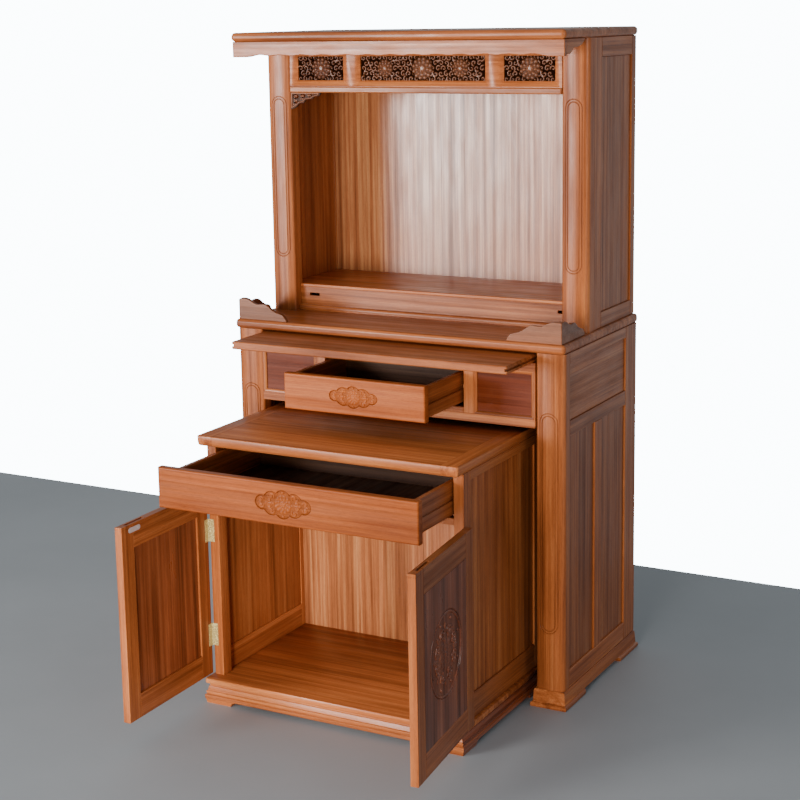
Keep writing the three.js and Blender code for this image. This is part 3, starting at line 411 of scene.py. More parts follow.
def carve(mesh, cutters):
    """Cuts round-bottomed grooves into a mesh."""
    target = placed("target", mesh)
    tools = [placed("cutter", cutter) for cutter in cutters]
    for tool in tools:
        change = target.modifiers.new("cut", "BOOLEAN")
        change.operation = "DIFFERENCE"
        change.solver = "EXACT"
        change.object = tool
    bpy.context.view_layer.update()
    graph = bpy.context.evaluated_depsgraph_get()
    result = bpy.data.meshes.new_from_object(target.evaluated_get(graph))
    for unwanted in (target, *tools):
        bpy.data.objects.remove(unwanted)
    return result


def oval_tube(centre, low, high, radius, face):
    """A thin ring tube along a long oval, lying on a post's swelled face."""
    steps = 20
    straight = 3
    sections = 8
    path = []
    for z, other, start in ((high - radius, low + radius, 0.0), (low + radius, high - radius, math.pi)):
        turns = [start + math.pi * i / steps for i in range(steps + 1)]
        path += [(centre + radius * math.cos(turn), z + radius * math.sin(turn), turn) for turn in turns]
        path += [(path[-1][0], z + (other - z) * (i + 1) / (straight + 1), turns[-1])
                 for i in range(straight)]
    points = []
    for x, z, turn in path:
        for k in range(sections):
            angle = 2 * math.pi * (k + 0.5) / sections
            out = OVAL_LINE * math.cos(angle)
            points.append((x + out * math.cos(turn), face(x) + OVAL_LINE * math.sin(angle),
                           z + out * math.sin(turn)))
    return Boards().add(points, walls(sections, len(path), ring=True), "xyz", "tube").mesh("tube")


def arc(cx, cy, radius, start, end, steps=8):
    """Points on an arc, its ends given in degrees."""
    turns = [math.radians(start + (end - start) * i / steps) for i in range(steps + 1)]
    return [(cx + radius * math.cos(turn), cy + radius * math.sin(turn)) for turn in turns]


def circle(cx, cy, radius, steps=16):
    return [(cx + radius * math.cos(turn), cy + radius * math.sin(turn))
            for turn in np.linspace(0, 2 * math.pi, steps, endpoint=False)]


def post(node, side, oval, outer, inner):
    """A post with rounded front corners and two engraved long ovals."""
    low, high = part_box(node)
    x0, x1 = (low.x, high.x) if side > 0 else (-high.x, -low.x)
    middle, half = (x0 + x1) / 2, (x1 - x0) / 2

    def face(x):
        share = min(abs(side * x - middle) / half, 1.0)
        return low.y + POST_SWELL * share ** 2.2
    steps = 14
    start, end = x0 + inner, x1 - outer
    front = [start + (end - start) * i / steps for i in range(1, steps)]
    outline = [(x1, high.y), (x0, high.y), *arc(start, face(side * start) + inner, inner, 180, 262),
               *((x, face(side * x)) for x in front),
               *arc(end, face(side * end) + outer, outer, 278, 360)]
    outline = [(side * x, y) for x, y in outline]
    width, bottom, top = oval
    centre = side * (middle - 0.003)
    mesh = Boards().prism(outline, "z", (low.z, high.z), "xyz", node).mesh(node)
    carved = carve(mesh, [oval_tube(centre, bottom + step, top - step, width / 2 - step, face)
                          for step in (0.0, OVAL_STEP)])
    boards = Boards().add([v.co for v in carved.vertices], [], "xyz", node)
    # What the cutters left lies a little behind the face, along the ovals; these points get painted shade in the
    # grooves
    boards.depth = np.array([GROOVE_SHADE if 0.0004 < v.co.y - face(v.co.x) < 0.004
                             and abs(v.co.x - centre) < width / 2 + 0.003
                             and bottom - 0.01 < v.co.z < top + 0.01 else 0.0 for v in carved.vertices])
    boards.write(carved)
    return show(node + "_board", carved, LACQUERED, "cabinet", (node,), 0.0, crease=30)


def framed(x, inset, y, z, stiles, rails):
    """Rear stile, rails and one panel of a side, with the stiles' and the rails' inner edges given."""
    return [(x, (stiles[1], y[1]), z, "yxz", "rear_stile"),
            (x, stiles, (z[0], rails[0]), "zxy", "bottom_rail"),
            (x, stiles, (rails[1], z[1]), "zxy", "top_rail"),
            (inset, stiles, rails, "yxz", "panel")]


def panelled(node, body, side, boards, edge=0.0022):
    """A glued-up frame and its panels, each given as x, y, z ranges, grain order and a word."""
    gathered = Boards()
    for x, y, z, order, word in boards:
        gathered.block((side * x[0], side * x[1]), y, z, order, node + word)
    return show(node + "_boards", gathered.mesh(node), LACQUERED, body, (node,), edge, 3)


# Carved ornament as height fields, in millimetres

def dome(u, v, cu, cv, ru, rv, turn=0.0):
    du, dv = u - cu, v - cv
    a = (du * np.cos(turn) + dv * np.sin(turn)) / ru
    b = (-du * np.sin(turn) + dv * np.cos(turn)) / rv
    return np.sqrt(np.clip(1 - a * a - b * b, 0, None))


def petal(u, v, cu, cv, length, width, turn, start=0.0):
    """A petal from a heart outwards, hollowed along its middle, with a rounded tip."""
    du, dv = u - cu, v - cv
    a = (du * np.cos(turn) + dv * np.sin(turn) - start) / length
    b = (-du * np.sin(turn) + dv * np.cos(turn))
    half = width * np.sqrt(np.clip(np.sin(np.pi * np.clip(a, 0, 1) ** 0.75), 0, None)) + 1e-6
    inside = np.clip(1 - (b / half) ** 2, 0, None) * ((a > 0) & (a < 1))
    hollow = 0.30 * np.exp(-(b / (0.30 * width)) ** 2) * (inside > 0)
    return inside ** 0.4 * (0.62 + 0.38 * np.clip(a, 0, 1)) - hollow


def stroke(u, v, path, wide, narrow):
    """A rounded ridge along a path that narrows towards its end."""
    best = np.zeros_like(u)
    count = len(path) - 1
    for i in range(count):
        (ax, ay), (bx, by) = path[i], path[i + 1]
        width = wide + (narrow - wide) * (i + 0.5) / count
        length = (bx - ax) ** 2 + (by - ay) ** 2 + 1e-9
        t = np.clip(((u - ax) * (bx - ax) + (v - ay) * (by - ay)) / length, 0, 1)
        distance = np.hypot(u - ax - t * (bx - ax), v - ay - t * (by - ay))
        best = np.maximum(best, np.sqrt(np.clip(1 - (distance / width) ** 2, 0, None)))
    return best


def curl(cx, cy, radius, start, turns, direction, steps=22):
    """A spiral path that winds inwards."""
    path = []
    for i in range(steps + 1):
        share = i / steps
        angle = start + direction * share * turns * 2 * math.pi
        reach = radius * (1 - 0.80 * share)
        path.append((cx + reach * math.cos(angle), cy + reach * math.sin(angle)))
    return path


def blossom(u, v, cu, cv, radius, petals):
    """Three rings of petals round a heart, each ring higher than the last."""
    height = np.zeros_like(u)
    for ring, (reach, rise, count) in enumerate(((1.0, 0.62, petals), (0.72, 0.82, petals), (0.45, 1.0, 6))):
        for i in range(count):
            turn = 2 * math.pi * (i + 0.5 * ring) / count + math.pi / 2
            width = 1.15 * reach * radius * math.pi / count
            lobe = petal(u, v, cu, cv, reach * radius * 0.78, min(width, reach * radius * 0.36), turn,
                         reach * radius * 0.22)
            height = np.maximum(height, rise * lobe)
    return np.maximum(height, 1.05 * dome(u, v, cu, cv, radius * 0.17, radius * 0.17))


def scroll_pair(u, v, cx, cy, size, turn, thickness):
    """Two curls that spring from one stem, with a bead in each eye and a leaf between them."""
    height = np.zeros_like(u)
    for direction in (-1, 1):
        angle = turn + direction * math.pi / 2
        ex, ey = cx + 0.48 * size * math.cos(angle), cy + 0.48 * size * math.sin(angle)
        path = curl(ex, ey, 0.46 * size, turn + math.pi, 1.15, -direction)
        height = np.maximum(height, 0.85 * stroke(u, v, path, thickness, thickness * 0.55))
        height = np.maximum(height, dome(u, v, ex, ey, thickness * 1.15, thickness * 1.15))
    return np.maximum(height, 0.8 * petal(u, v, cx, cy, size * 0.8, size * 0.2, turn, -size * 0.1))


def door_medallion(u, v):
    """A round field with a raised rim, a blossom and a ring of scrolls; heights stand on the door's face."""
    radius = MEDALLION_RADIUS / MM
    reach = np.hypot(u, v)
    field = np.clip((radius - reach) / 1.6, 0, 1)
    relief = blossom(u, v, 0, 0, radius * 0.36, 8)
    around = 8
    for i in range(around):
        turn = 2 * math.pi * i / around
        cx, cy = radius * 0.52 * math.cos(turn), radius * 0.52 * math.sin(turn)
        relief = np.maximum(relief, scroll_pair(u, v, cx, cy, radius * 0.30, turn, 3.0))
        turn += math.pi / around
        for share, size in ((0.80, 4.6), (0.46, 3.4)):
            relief = np.maximum(relief, dome(u, v, radius * share * math.cos(turn),
                                             radius * share * math.sin(turn), size, size))
    rim = np.sqrt(np.clip(1 - ((reach - radius + 6.5) / 3.4) ** 2, 0, None))
    ground = -3.2
    height = field * (ground + 3.6 * np.maximum(relief, 0)) * (reach < radius - 3)
    return np.where(reach >= radius - 10, field * (ground + 3.4 * np.maximum(rim, relief)), height)


def drawer_medallion(width, height_mm):
    """A cloud-shaped field with a cut outline, a blossom in the middle and scrolls with beads beside it."""
    def shape(u, v):
        a, b = width / 2, height_mm / 2
        inside = np.full_like(u, -9.0)
        for share, up, long, tall in ((0.0, 0.0, 0.36, 1.0), (0.40, 0.22, 0.30, 0.62),
                                      (0.40, -0.22, 0.30, 0.62), (0.74, 0.0, 0.26, 0.52)):
            for side in (-1, 1):
                reach = np.hypot((u - side * a * share) / (a * long), (v - b * up) / (b * tall))
                inside = np.maximum(inside, (1 - reach) * b * tall)
        relief = chrysanthemum(u, v, 0, 0, b * 0.66)
        for side in (-1, 1):
            turn = 0.0 if side > 0 else math.pi
            for along_u, rise, size, tilt in ((0.78, 0.0, 0.40, 0.0), (0.44, 0.34, 0.42, 0.5),
                                              (0.44, -0.34, 0.42, -0.5)):
                relief = np.maximum(relief, scroll_pair(u, v, side * a * along_u, b * rise, b * size,
                                                        turn + side * tilt, b * 0.075))
            for share, up in ((0.34, 0.0), (0.60, 0.0), (0.22, 0.74), (0.22, -0.74), (0.0, 0.82),
                              (0.0, -0.82)):
                relief = np.maximum(relief, dome(u, v, side * a * share, b * up, b * 0.11, b * 0.11))
        field = np.clip(inside / 0.8, 0, 1)
        outline = np.exp(-((inside - 1.3) / 0.9) ** 2)
        return field * (-2.0 + 2.6 * np.clip(relief, 0, 1) * (inside > 2.4) - 1.5 * outline)
    return shape


def chrysanthemum(u, v, cu, cv, radius):
    """A beaded heart in two rings of plump round petals on a low disc."""
    height = 0.42 * dome(u, v, cu, cv, radius, radius)
    height = np.maximum(height, 0.80 * dome(u, v, cu, cv, radius * 0.42, radius * 0.42))
    for reach, long, wide, count, rise in ((0.22, 0.11, 0.10, 6, 1.0), (0.54, 0.19, 0.15, 9, 0.92),
                                           (0.82, 0.19, 0.19, 12, 0.78)):
        for i in range(count):
            turn = 2 * math.pi * i / count + reach
            lobe = dome(u, v, cu + reach * radius * math.cos(turn), cv + reach * radius * math.sin(turn),
                        long * radius, wide * radius, turn)
            height = np.maximum(height, rise * lobe)
    return height


def frieze_relief(width, height_mm, flowers):
    """Plump blossoms in a dense ground of curls."""
    def shape(u, v):
        b = height_mm / 2
        relief = np.zeros_like(u)
        pitch = b * 0.50
        for row in range(-2, 3):
            columns = int(width / 2 / pitch) + 1
            for column in range(-columns, columns + 1):
                cx, cy = (column + 0.5 * (row % 2)) * pitch, row * pitch * 0.86
                if abs(cx) > width / 2 - b * 0.16:
                    continue
                turn = 2.4 * column + 1.7 * row
                path = curl(cx, cy, b * 0.24, turn, 0.9, 1 if (row + column) % 2 else -1, 14)
                relief = np.maximum(relief, 0.72 * stroke(u, v, path, b * 0.082, b * 0.060))
        for centre, size in flowers:
            clear = np.hypot(u - centre, v) < b * size
            relief = np.where(clear, chrysanthemum(u, v, centre, 0, b * size), relief)
        return FRIEZE_RISE * (np.clip(relief, 0, 1) - 1)
    return shape


def lines(edges, fine, fine_step, coarse_step):
    """Grid lines between edges: fine inside the fine range, coarse elsewhere."""
    low, high = edges
    start, end = fine
    parts = [np.arange(low, start, coarse_step), np.arange(start, end, fine_step),
             np.arange(end, high, coarse_step), [high]]
    return np.unique(np.round(np.concatenate(parts), 4))


def relief_board(origin, side, us, vs, height, thickness, order, word, floor):
    """A board with a flat back whose face is a height field in millimetres over grid lines us and vs."""
    grid_u, grid_v = np.meshgrid(us, vs)
    rise = height(grid_u, grid_v)
    rows, columns = grid_u.shape
    points = np.array(origin) + MM * np.stack([side * grid_u, -rise, grid_v], axis=-1).reshape(-1, 3)
    rim = ([(0, c) for c in range(columns)] + [(r, columns - 1) for r in range(1, rows)]
           + [(rows - 1, c) for c in range(columns - 2, -1, -1)] + [(r, 0) for r in range(rows - 2, 0, -1)])
    rim_index = [r * columns + c for r, c in rim]
    back = points[rim_index]
    back[:, 1] += MM * rise.ravel()[rim_index] + thickness
    faces = [(r * columns + c, r * columns + c + 1, (r + 1) * columns + c + 1, (r + 1) * columns + c)
             for r in range(rows - 1) for c in range(columns - 1)]
    base = len(points)
    count = len(rim_index)
    faces += [(rim_index[i], rim_index[(i + 1) % count], base + (i + 1) % count, base + i)
              for i in range(count)]
    faces.append(tuple(base + i for i in range(count)))
    # The depth share of points below the face, which the wood paints as shade
    depth = np.append(np.clip(-rise.ravel() / floor, 0, 1), np.zeros(count))
    return Boards().add(np.vstack([points, back]), faces, order, word, depth)


# Lower body

def lower_sides():
    x, (front, rear), (bottom, top) = zip(*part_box("lower_side_right"))
    inset = (x[0] + SIDE_RECESS, x[1] - SIDE_RECESS)
    stile = rear - LOWER_REAR_STILE
    rail_low, rail_high = bottom + LOWER_RAILS[0], top - LOWER_RAILS[1]
    middle = (front + stile) / 2
    half = LOWER_MUNTIN / 2
    mid_low, mid_high = LOWER_MID_RAIL
    boards = [
        (x, (stile, rear), (bottom, top), "yxz", "rear_stile"),
        (x, (front, stile), (rail_high, top), "zxy", "top_rail"),
        (x, (front, stile), (mid_low, mid_high), "zxy", "mid_rail"),
        (x, (front, stile), (bottom, rail_low), "zxy", "bottom_rail"),
        (x, (middle - half, middle + half), (rail_low, mid_low), "yxz", "muntin"),
        (inset, (front, stile), (mid_high, rail_high), "zxy", "upper_panel"),
        (inset, (front, middle - half), (rail_low, mid_low), "yxz", "front_panel"),
        (inset, (middle + half, stile), (rail_low, mid_low), "yxz", "rear_panel"),
    ]
    for word, side in SIDES:
        panelled(f"lower_side_{word}", "cabinet", side, boards)


def front_frame():
    low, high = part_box("front_frame")
    y = (low.y, high.y)
    half = high.x
    u0, u1, z0, z1 = FIXED_FIELD
    x_in, x_out = u0 - MOULDING_WIDTH, u1 + MOULDING_WIDTH
    field = (z0 - MOULDING_WIDTH, z1 + MOULDING_WIDTH)
    drawer_low, drawer_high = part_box("small_drawer_front")
    opening = (-OPENING_HALF, OPENING_HALF)
    boards, panels, mouldings = Boards(), Boards(), Boards()
    boards.block((-half, half), y, (low.z, field[0]), "zyx", "bottom_rail")
    boards.block((-half, half), y, (field[1], high.z), "zyx", "top_rail")
    boards.block(opening, y, (field[0], drawer_low.z - OPENING_GAP), "zyx", "sill_strip")
    boards.block(opening, y, (drawer_high.z + OPENING_GAP, field[1]), "zyx", "head_strip")
    for word, side in SIDES:
        boards.block((side * OPENING_HALF, side * x_in), y, field, "xyz", word + "_stile")
        boards.block((side * x_out, side * half), y, field, "xyz", word + "_end")
        panels.block((side * x_in, side * x_out), (low.y + MOULDING_DEPTH, high.y), field, "zyx",
                     word + "_panel")
        mitred_moulding(mouldings, (side * u0, side * u1), (z0, z1), low.y, word)
    show("front_frame_boards", boards.mesh("front_frame"), LACQUERED, "cabinet", ("front_frame",), 0.0012)
    # The fixed panels take the darker panel wood, as painted shade under the offering board
    show("front_frame_panels", panels.mesh("front_panels"), SHADED_PANEL, "cabinet", (), 0.0)
    show("front_frame_mouldings", mouldings.mesh("front_mouldings"), LACQUERED, "cabinet", (), 0.0006)


def mitred_moulding(boards, x, z, face, word):
    """Four mitred strips round an opening, highest at the outside and sloping to the panel."""
    x0, x1 = sorted(x)
    z0, z1 = z
    profile = [(share, rise * MOULDING_DEPTH) for share, rise in
               ((0.0, 1.0), (0.0, 0.55), (0.30, 0.25), (0.62, 0.0), (1.0, 0.0), (1.0, 1.0))]
    for name, order, start, end, inward in (
            ("low", "zyx", (x0, z0), (x1, z0), (0, -1)), ("high", "zyx", (x1, z1), (x0, z1), (0, 1)),
            ("left", "xyz", (x0, z1), (x0, z0), (-1, 0)), ("right", "xyz", (x1, z0), (x1, z1), (1, 0))):
        run = np.array(end) - np.array(start)
        run = run / np.linalg.norm(run)
        points = []
        for corner, sign in ((start, -1), (end, 1)):
            for share, rise in profile:
                away = share * MOULDING_WIDTH
                spot = np.array(corner) + np.array(inward) * away + run * sign * away
                points.append((spot[0], face + rise, spot[1]))
        boards.add(points, caps(len(profile), 2) + walls(len(profile), 2), order, word + name)


def lower_body():
    for word, side in SIDES:
        dress(f"plinth_{word}", "zxy", edge=0.0012)
        post(f"lower_post_{word}", side, LOWER_OVAL, 0.014, 0.008)
        dress(f"drawer_partition_{word}", "zxy", PLAIN)
        # The galleries take the darker wood as painted shade
        dress(f"corner_gallery_{word}", "zyx", SHADE_WOOD, edge=0.0022, segments=3)
    lower_sides()
    front_frame()
    dress("lower_back", "xyz", PLAIN)
    dress("dust_board", "yzx", PLAIN)
    soft_board("desktop", "yzx", 0.010)
    dress("offering_board", "yzx", edge=0.0008)


# Shrine case

# The bracket's lower edge and its curls, as shares of its width and height, with each curl's size
BRACKET_EDGE = ((0.96, 0.0), (0.90, 0.14), (0.76, 0.18), (0.67, 0.32), (0.48, 0.36), (0.39, 0.54),
                (0.24, 0.60), (0.14, 0.80), (0.0, 0.94))
BRACKET_CURLS = ((0.14, 0.20, 0.13), (0.38, 0.17, 0.12), (0.62, 0.13, 0.09), (0.13, 0.50, 0.12),
                 (0.36, 0.38, 0.08), (0.10, 0.74, 0.07))


def case_sides():
    low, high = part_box("case_side_right")
    x, y, z = zip(low, high)
    stiles = (low.y + CASE_STILES[0], high.y - CASE_STILES[1])
    rails = (low.z + CASE_RAILS[0], high.z - CASE_RAILS[1])
    boards = [(x, (low.y, stiles[0]), z, "yxz", "front_stile"),
              *framed(x, (low.x, high.x - SIDE_RECESS), y, z, stiles, rails)]
    for word, side in SIDES:
        panelled(f"case_side_{word}", "cabinet", side, boards)


def frieze():
    dress("frieze_frame", "zyx", edge=0.0008)
    for node, flowers in (("frieze_panel_left", ((0, 0.92),)),
                          ("frieze_panel_middle", ((-122, 0.74), (0, 0.96), (122, 0.74))),
                          ("frieze_panel_right", ((0, 0.92),))):
        low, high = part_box(node)
        width, height = (high.x - low.x) / MM, (high.z - low.z) / MM
        us, vs = (lines((-half, half), (1 - half, half - 1), FRIEZE_STEP, FRIEZE_STEP)
                  for half in (width / 2, height / 2))
        centre = ((low.x + high.x) / 2, high.y - FRIEZE_FACE, (low.z + high.z) / 2)
        boards = relief_board(centre, 1, us, vs, frieze_relief(width, height, flowers), FRIEZE_THICKNESS,
                              "zyx", node, FRIEZE_RISE)
        show(node + "_carving", boards.mesh(node), CARVED, "cabinet", (node,), 0.0, crease=50)
    dress("frieze_rail", "zyx", edge=0.004, segments=4)
    corner_bracket()


def tube(boards, path, radius, y, word):
    """A round strand along a path in the upright plane at depth y."""
    sides = 8
    points = []
    for i, (x, z) in enumerate(path):
        before, after = path[max(i - 1, 0)], path[min(i + 1, len(path) - 1)]
        run = Vector((after[0] - before[0], after[1] - before[1])).normalized()
        for k in range(sides):
            angle = 2 * math.pi * k / sides
            points.append((x - run.y * radius * math.cos(angle), y + radius * math.sin(angle),
                           z + run.x * radius * math.cos(angle)))
    boards.add(points, walls(sides, len(path)) + caps(sides, len(path)), "zyx", word)


def corner_bracket():
    """The CAD bracket as a ground painted dark as shade, with strands of scrollwork along its edge and over its
    field.
    """
    low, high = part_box("corner_bracket")
    width, height = high.x - low.x, high.z - low.z
    thick = BRACKET_STRAND
    y = low.y + thick
    ground = dress("corner_bracket", "xyz", CARVED, edge=0.0, crease=30)
    for point in ground.data.vertices:
        if point.co.y < (low.y + high.y) / 2:
            point.co.y = y
    # The whole ground is painted dark as shade behind the strands
    ground.data.attributes["depth"].data.foreach_set("value", [0.8] * len(ground.data.vertices))
    strands = Boards()

    def place(share_x, share_z):
        return (low.x + thick + share_x * (width - 2 * thick),
                high.z - thick - share_z * (height - 2 * thick))
    tube(strands, [place(0, 0), place(0.96, 0)], thick, y, "upper")
    tube(strands, [place(0, 0), place(0, 0.97)], thick, y, "side")
    tube(strands, [place(*spot) for spot in BRACKET_EDGE], thick * 0.9, y, "edge")
    for number, (along_x, down, size) in enumerate(BRACKET_CURLS):
        for direction in (-1, 1):
            x, z = place(along_x + direction * 0.03, down)
            path = curl(x, z, size * height * 0.55, number + direction, 0.95, direction, 16)
            tube(strands, path, thick * 0.62, y, f"curl{number}{direction}")
    # The strands take the darker wood as painted shade
    show("corner_bracket_strands", strands.mesh("strands"), SHADE_WOOD, "cabinet", (), 0.0, crease=50)


def shrine_case():
    for word, side in SIDES:
        post(f"upper_post_{word}", side, UPPER_OVAL, 0.018, 0.008)
        dress(f"valance_return_{word}", "zxy", edge=0.002, segments=3)
    case_sides()
    dress("case_back", "xyz", RIBBON)
    soft_board("crown", "yzx", 0.0115)
    dress("valance_front", "zyx", edge=0.002, segments=3)
    frieze()
    dress("niche_floor", "yzx", edge=0.003, segments=3)
    dress("niche_riser", "zyx")
    dress("niche_sill", "zyx", edge=0.001)


# Drawers

def drawer(name, width, height_mm):
    """A drawer with a medallion of that width and height on its front."""
    node = f"{name}_front"
    low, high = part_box(node)
    half_u = (high.x - low.x) / MM / 2
    half_v = (high.z - low.z) / MM / 2
    shape = drawer_medallion(width, height_mm)

    def rounded(u, v):
        inset = np.minimum(half_u - np.abs(u), half_v - np.abs(v))
        share = np.clip(1 - inset / DRAWER_ROUND, 0, 1)
        return shape(u, v) - DRAWER_ROUND * (1 - np.sqrt(np.clip(1 - share ** 2, 0, 1)))
    edge_lines = DRAWER_ROUND * np.array([0.0, 0.0375, 0.15, 0.3, 0.5, 0.75, 1.0])
    us, vs = (np.concatenate([edge_lines - half,
                              lines((inset - half, half - inset), (-size / 2, size / 2), DRAWER_STEP, coarse),
                              half - edge_lines[::-1]])
              for half, inset, size, coarse in ((half_u, 6, width, 18), (half_v, 5, height_mm, 6)))
    centre = ((low.x + high.x) / 2, high.y - DRAWER_FACE, (low.z + high.z) / 2)
    boards = relief_board(centre, 1, us, vs, rounded, DRAWER_FACE - 0.0004, "zyx", node, DRAWER_SHADE)
    boards.depth[np.abs(boards.points[:, 0] - centre[0]) > width * MM / 2] = 0.0
    boards.depth[np.abs(boards.points[:, 2] - centre[2]) > height_mm * MM / 2] = 0.0
    show(node + "_board", boards.mesh(node), DRAWER, body_named(node), (node,), 0.0, crease=50)
    for word, _ in SIDES:
        dress(f"{name}_wall_{word}", "zxy")
    dress(f"{name}_bottom", "xzy", INSIDE)
    dress(f"{name}_back", "zyx", INSIDE)


# Pull-out cabinet

def pullout_cabinet():
    pullout_top_board()
    low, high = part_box("pullout_side_right")
    _, y, z = zip(low, high)
    inner = high.x - PULLOUT_WALL
    stiles = (low.y + PULLOUT_STILES[0], high.y - PULLOUT_STILES[1])
    rails = (low.z + PULLOUT_RAILS[0], high.z - PULLOUT_RAILS[1])
    middle = sum(corner.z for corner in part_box("large_drawer_wall_right")) / 2
    boards = [
        ((high.x - PULLOUT_FRONT_STILE, high.x), (low.y, stiles[0]), z, "xyz", "stile"),
        *framed((inner, high.x), (inner + 0.002, high.x - SIDE_RECESS), y, z, stiles, rails),
        ((low.x, inner + 0.001), (stiles[0], high.y - 0.012), (middle - RUNNER_HALF, middle + RUNNER_HALF),
         "zxy", "runner"),
    ]
    for word, side in SIDES:
        panelled(f"pullout_side_{word}", "pullout_cabinet", side, boards, 0.0015)
        # The plinths take the darker deep red wood as painted shade
        dress(f"pullout_plinth_{word}", "zxy", DEEP, edge=0.0008, crease=20)
    dress("pullout_back", "xyz", RIBBON)
    dress("pullout_rail", "zyx")
    dress("pullout_floor", "yzx", edge=0.0)
    dress("pullout_plinth_front", "zyx", edge=0.0008, crease=20)


def pullout_top_board():
    """The table top: a crisp upper edge, a tapered under edge, eased corners and breadboard ends."""
    low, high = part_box("pullout_top")
    radius = 0.006
    boards = Boards()
    rings = [(0.006, low.z), (0.0035, low.z + 0.0022), (0.0015, low.z + 0.006), (0.0003, low.z + 0.011),
             (0.0, high.z - 0.0022), (0.0006, high.z - 0.0007), (0.002, high.z)]
    joint = low.x + BREADBOARD
    for end, order in ((-1, "xzy"), (0, "yzx"), (1, "xzy")):
        points = []
        for inset, z in rings:
            y0, y1 = low.y + inset, high.y - inset
            corner = max(radius - inset, 0.001)
            x = low.x + inset + corner
            outline = [*arc(x, y1 - corner, corner, 90, 180, 5), *arc(x, y0 + corner, corner, 180, 270, 5),
                       (joint, y0), (joint, y1)]
            if end == 0:
                outline = [(joint, y0), (-joint, y0), (-joint, y1), (joint, y1)]
            elif end > 0:
                outline = [(-x, low.y + high.y - y) for x, y in outline]
            points += [(x, y, z) for x, y in outline]
        count = len(outline)
        boards.add(points, walls(count, len(rings)) + caps(count, len(rings)), order, f"pullout_top{end}")
    show("pullout_top_boards", boards.mesh("pullout_top"), LACQUERED, "pullout_cabinet", ("pullout_top",),
         0.0006, crease=60)


# Doors, built closed about their pin and then swung open

def door_pin(word):
    return next(Vector(joint["pos_m"]) for joint in frame["joints"] if joint["name"] == f"door_{word}_hinge")


def swing(mesh, word, side):
    pin = door_pin(word)
    pin.z = 0.0
    turn = Matrix.Rotation(math.radians(side * DOOR_OPEN[word]), 4, "Z")
    mesh.transform(Matrix.Translation(pin) @ turn)
    return mesh


def door(word, side):
    hinge_edge = -DOOR_PIN_GAP
    free_edge = hinge_edge - DOOR_WIDTH
    inner = -DOOR_FACE_GAP
    outer = inner - DOOR_THICKNESS
    z0, z1 = DOOR_HEIGHTS
    y = (outer, inner)
    x_in = (free_edge + DOOR_STILE, hinge_edge - DOOR_STILE)
    z_in = (z0 + DOOR_RAIL, z1 - DOOR_RAIL)
    node = f"door_{word}"
    slot = (free_edge + SLOT_START, free_edge + SLOT_END)
    below = z1 - SLOT_DEPTH
    middle = (outer + inner) / 2
    frame_boards = Boards()

    def put(x, y_range, z, order, name):
        frame_boards.block((side * x[0], side * x[1]), y_range, z, order, node + name)
    put((hinge_edge - DOOR_STILE, hinge_edge), y, (z0, z1), "xyz", "hinge_stile")
    put((free_edge, x_in[0]), y, (z0, below), "xyz", "free_stile")
    put(x_in, y, (z0, z_in[0]), "zyx", "bottom_rail")
    put(x_in, y, (z_in[1], below), "zyx", "top_rail")
    put((free_edge, slot[0]), y, (below, z1), "xyz", "free_stile")
    put((slot[1], x_in[1]), y, (below, z1), "zyx", "top_rail")
    for lips in ((outer, middle - SLOT_WIDTH / 2), (middle + SLOT_WIDTH / 2, inner)):
        put((slot[0], x_in[0]), lips, (below, z1), "xyz", "free_stile")
        put((x_in[0], slot[1]), lips, (below, z1), "zyx", "top_rail")
    mesh = swing(frame_boards.mesh(node), word, side)
    show(node + "_frame", mesh, LACQUERED, node, (node,), 0.0011)

    half_u, half_v = ((span[1] - span[0]) / MM / 2 - 0.4 for span in (x_in, z_in))
    radius = MEDALLION_RADIUS / MM + 1
    us = lines((-half_u, half_u), (-radius, radius), 1.0, 8)
    vs = lines((-half_v, half_v), (-radius, radius), 1.0, 16)
    origin = (side * sum(x_in) / 2, outer + 0.0004, sum(z_in) / 2)
    panel = relief_board(origin, side, us, vs, door_medallion, DOOR_THICKNESS - DOOR_RECESS - 0.0004, "xyz",
                         node + "panel", DOOR_SHADE)
    mesh = swing(panel.mesh(node + "_panel"), word, side)
    show(node + "_panel", mesh, DEEP, node, (), 0.0, crease=50)


def rounded_bar(x, z, half_length, half_height):
    """The outline of a bar with half-round ends."""
    return [(x + side * (half_length - half_height + half_height * math.sin(turn)),
             z + side * half_height * math.cos(turn))
            for side in (1, -1) for turn in np.linspace(0, math.pi, 10)]


def catch_plate():
    """The long plate with rounded ends inside the left door's free top corner, with two screws."""
    x = DOOR_PIN_GAP + DOOR_WIDTH - CATCH_INSET[0]
    z = DOOR_HEIGHTS[1] - CATCH_INSET[1]
    face = -DOOR_FACE_GAP
    bar = rounded_bar(x, z, *CATCH_HALF)
    plate = Boards().prism(bar, "y", (face - 0.0002, face + 0.0008), "xyz", "catch")
    for place in (x - CATCH_SCREW, x + CATCH_SCREW):
        plate.prism(circle(place, z, SCREW_RADIUS), "y", (face, face + 0.0014), "xyz", "screw")
    show("catch_plate", swing(plate.mesh("catch"), "left", -1), STEEL, "door_left", (), 0.0002)


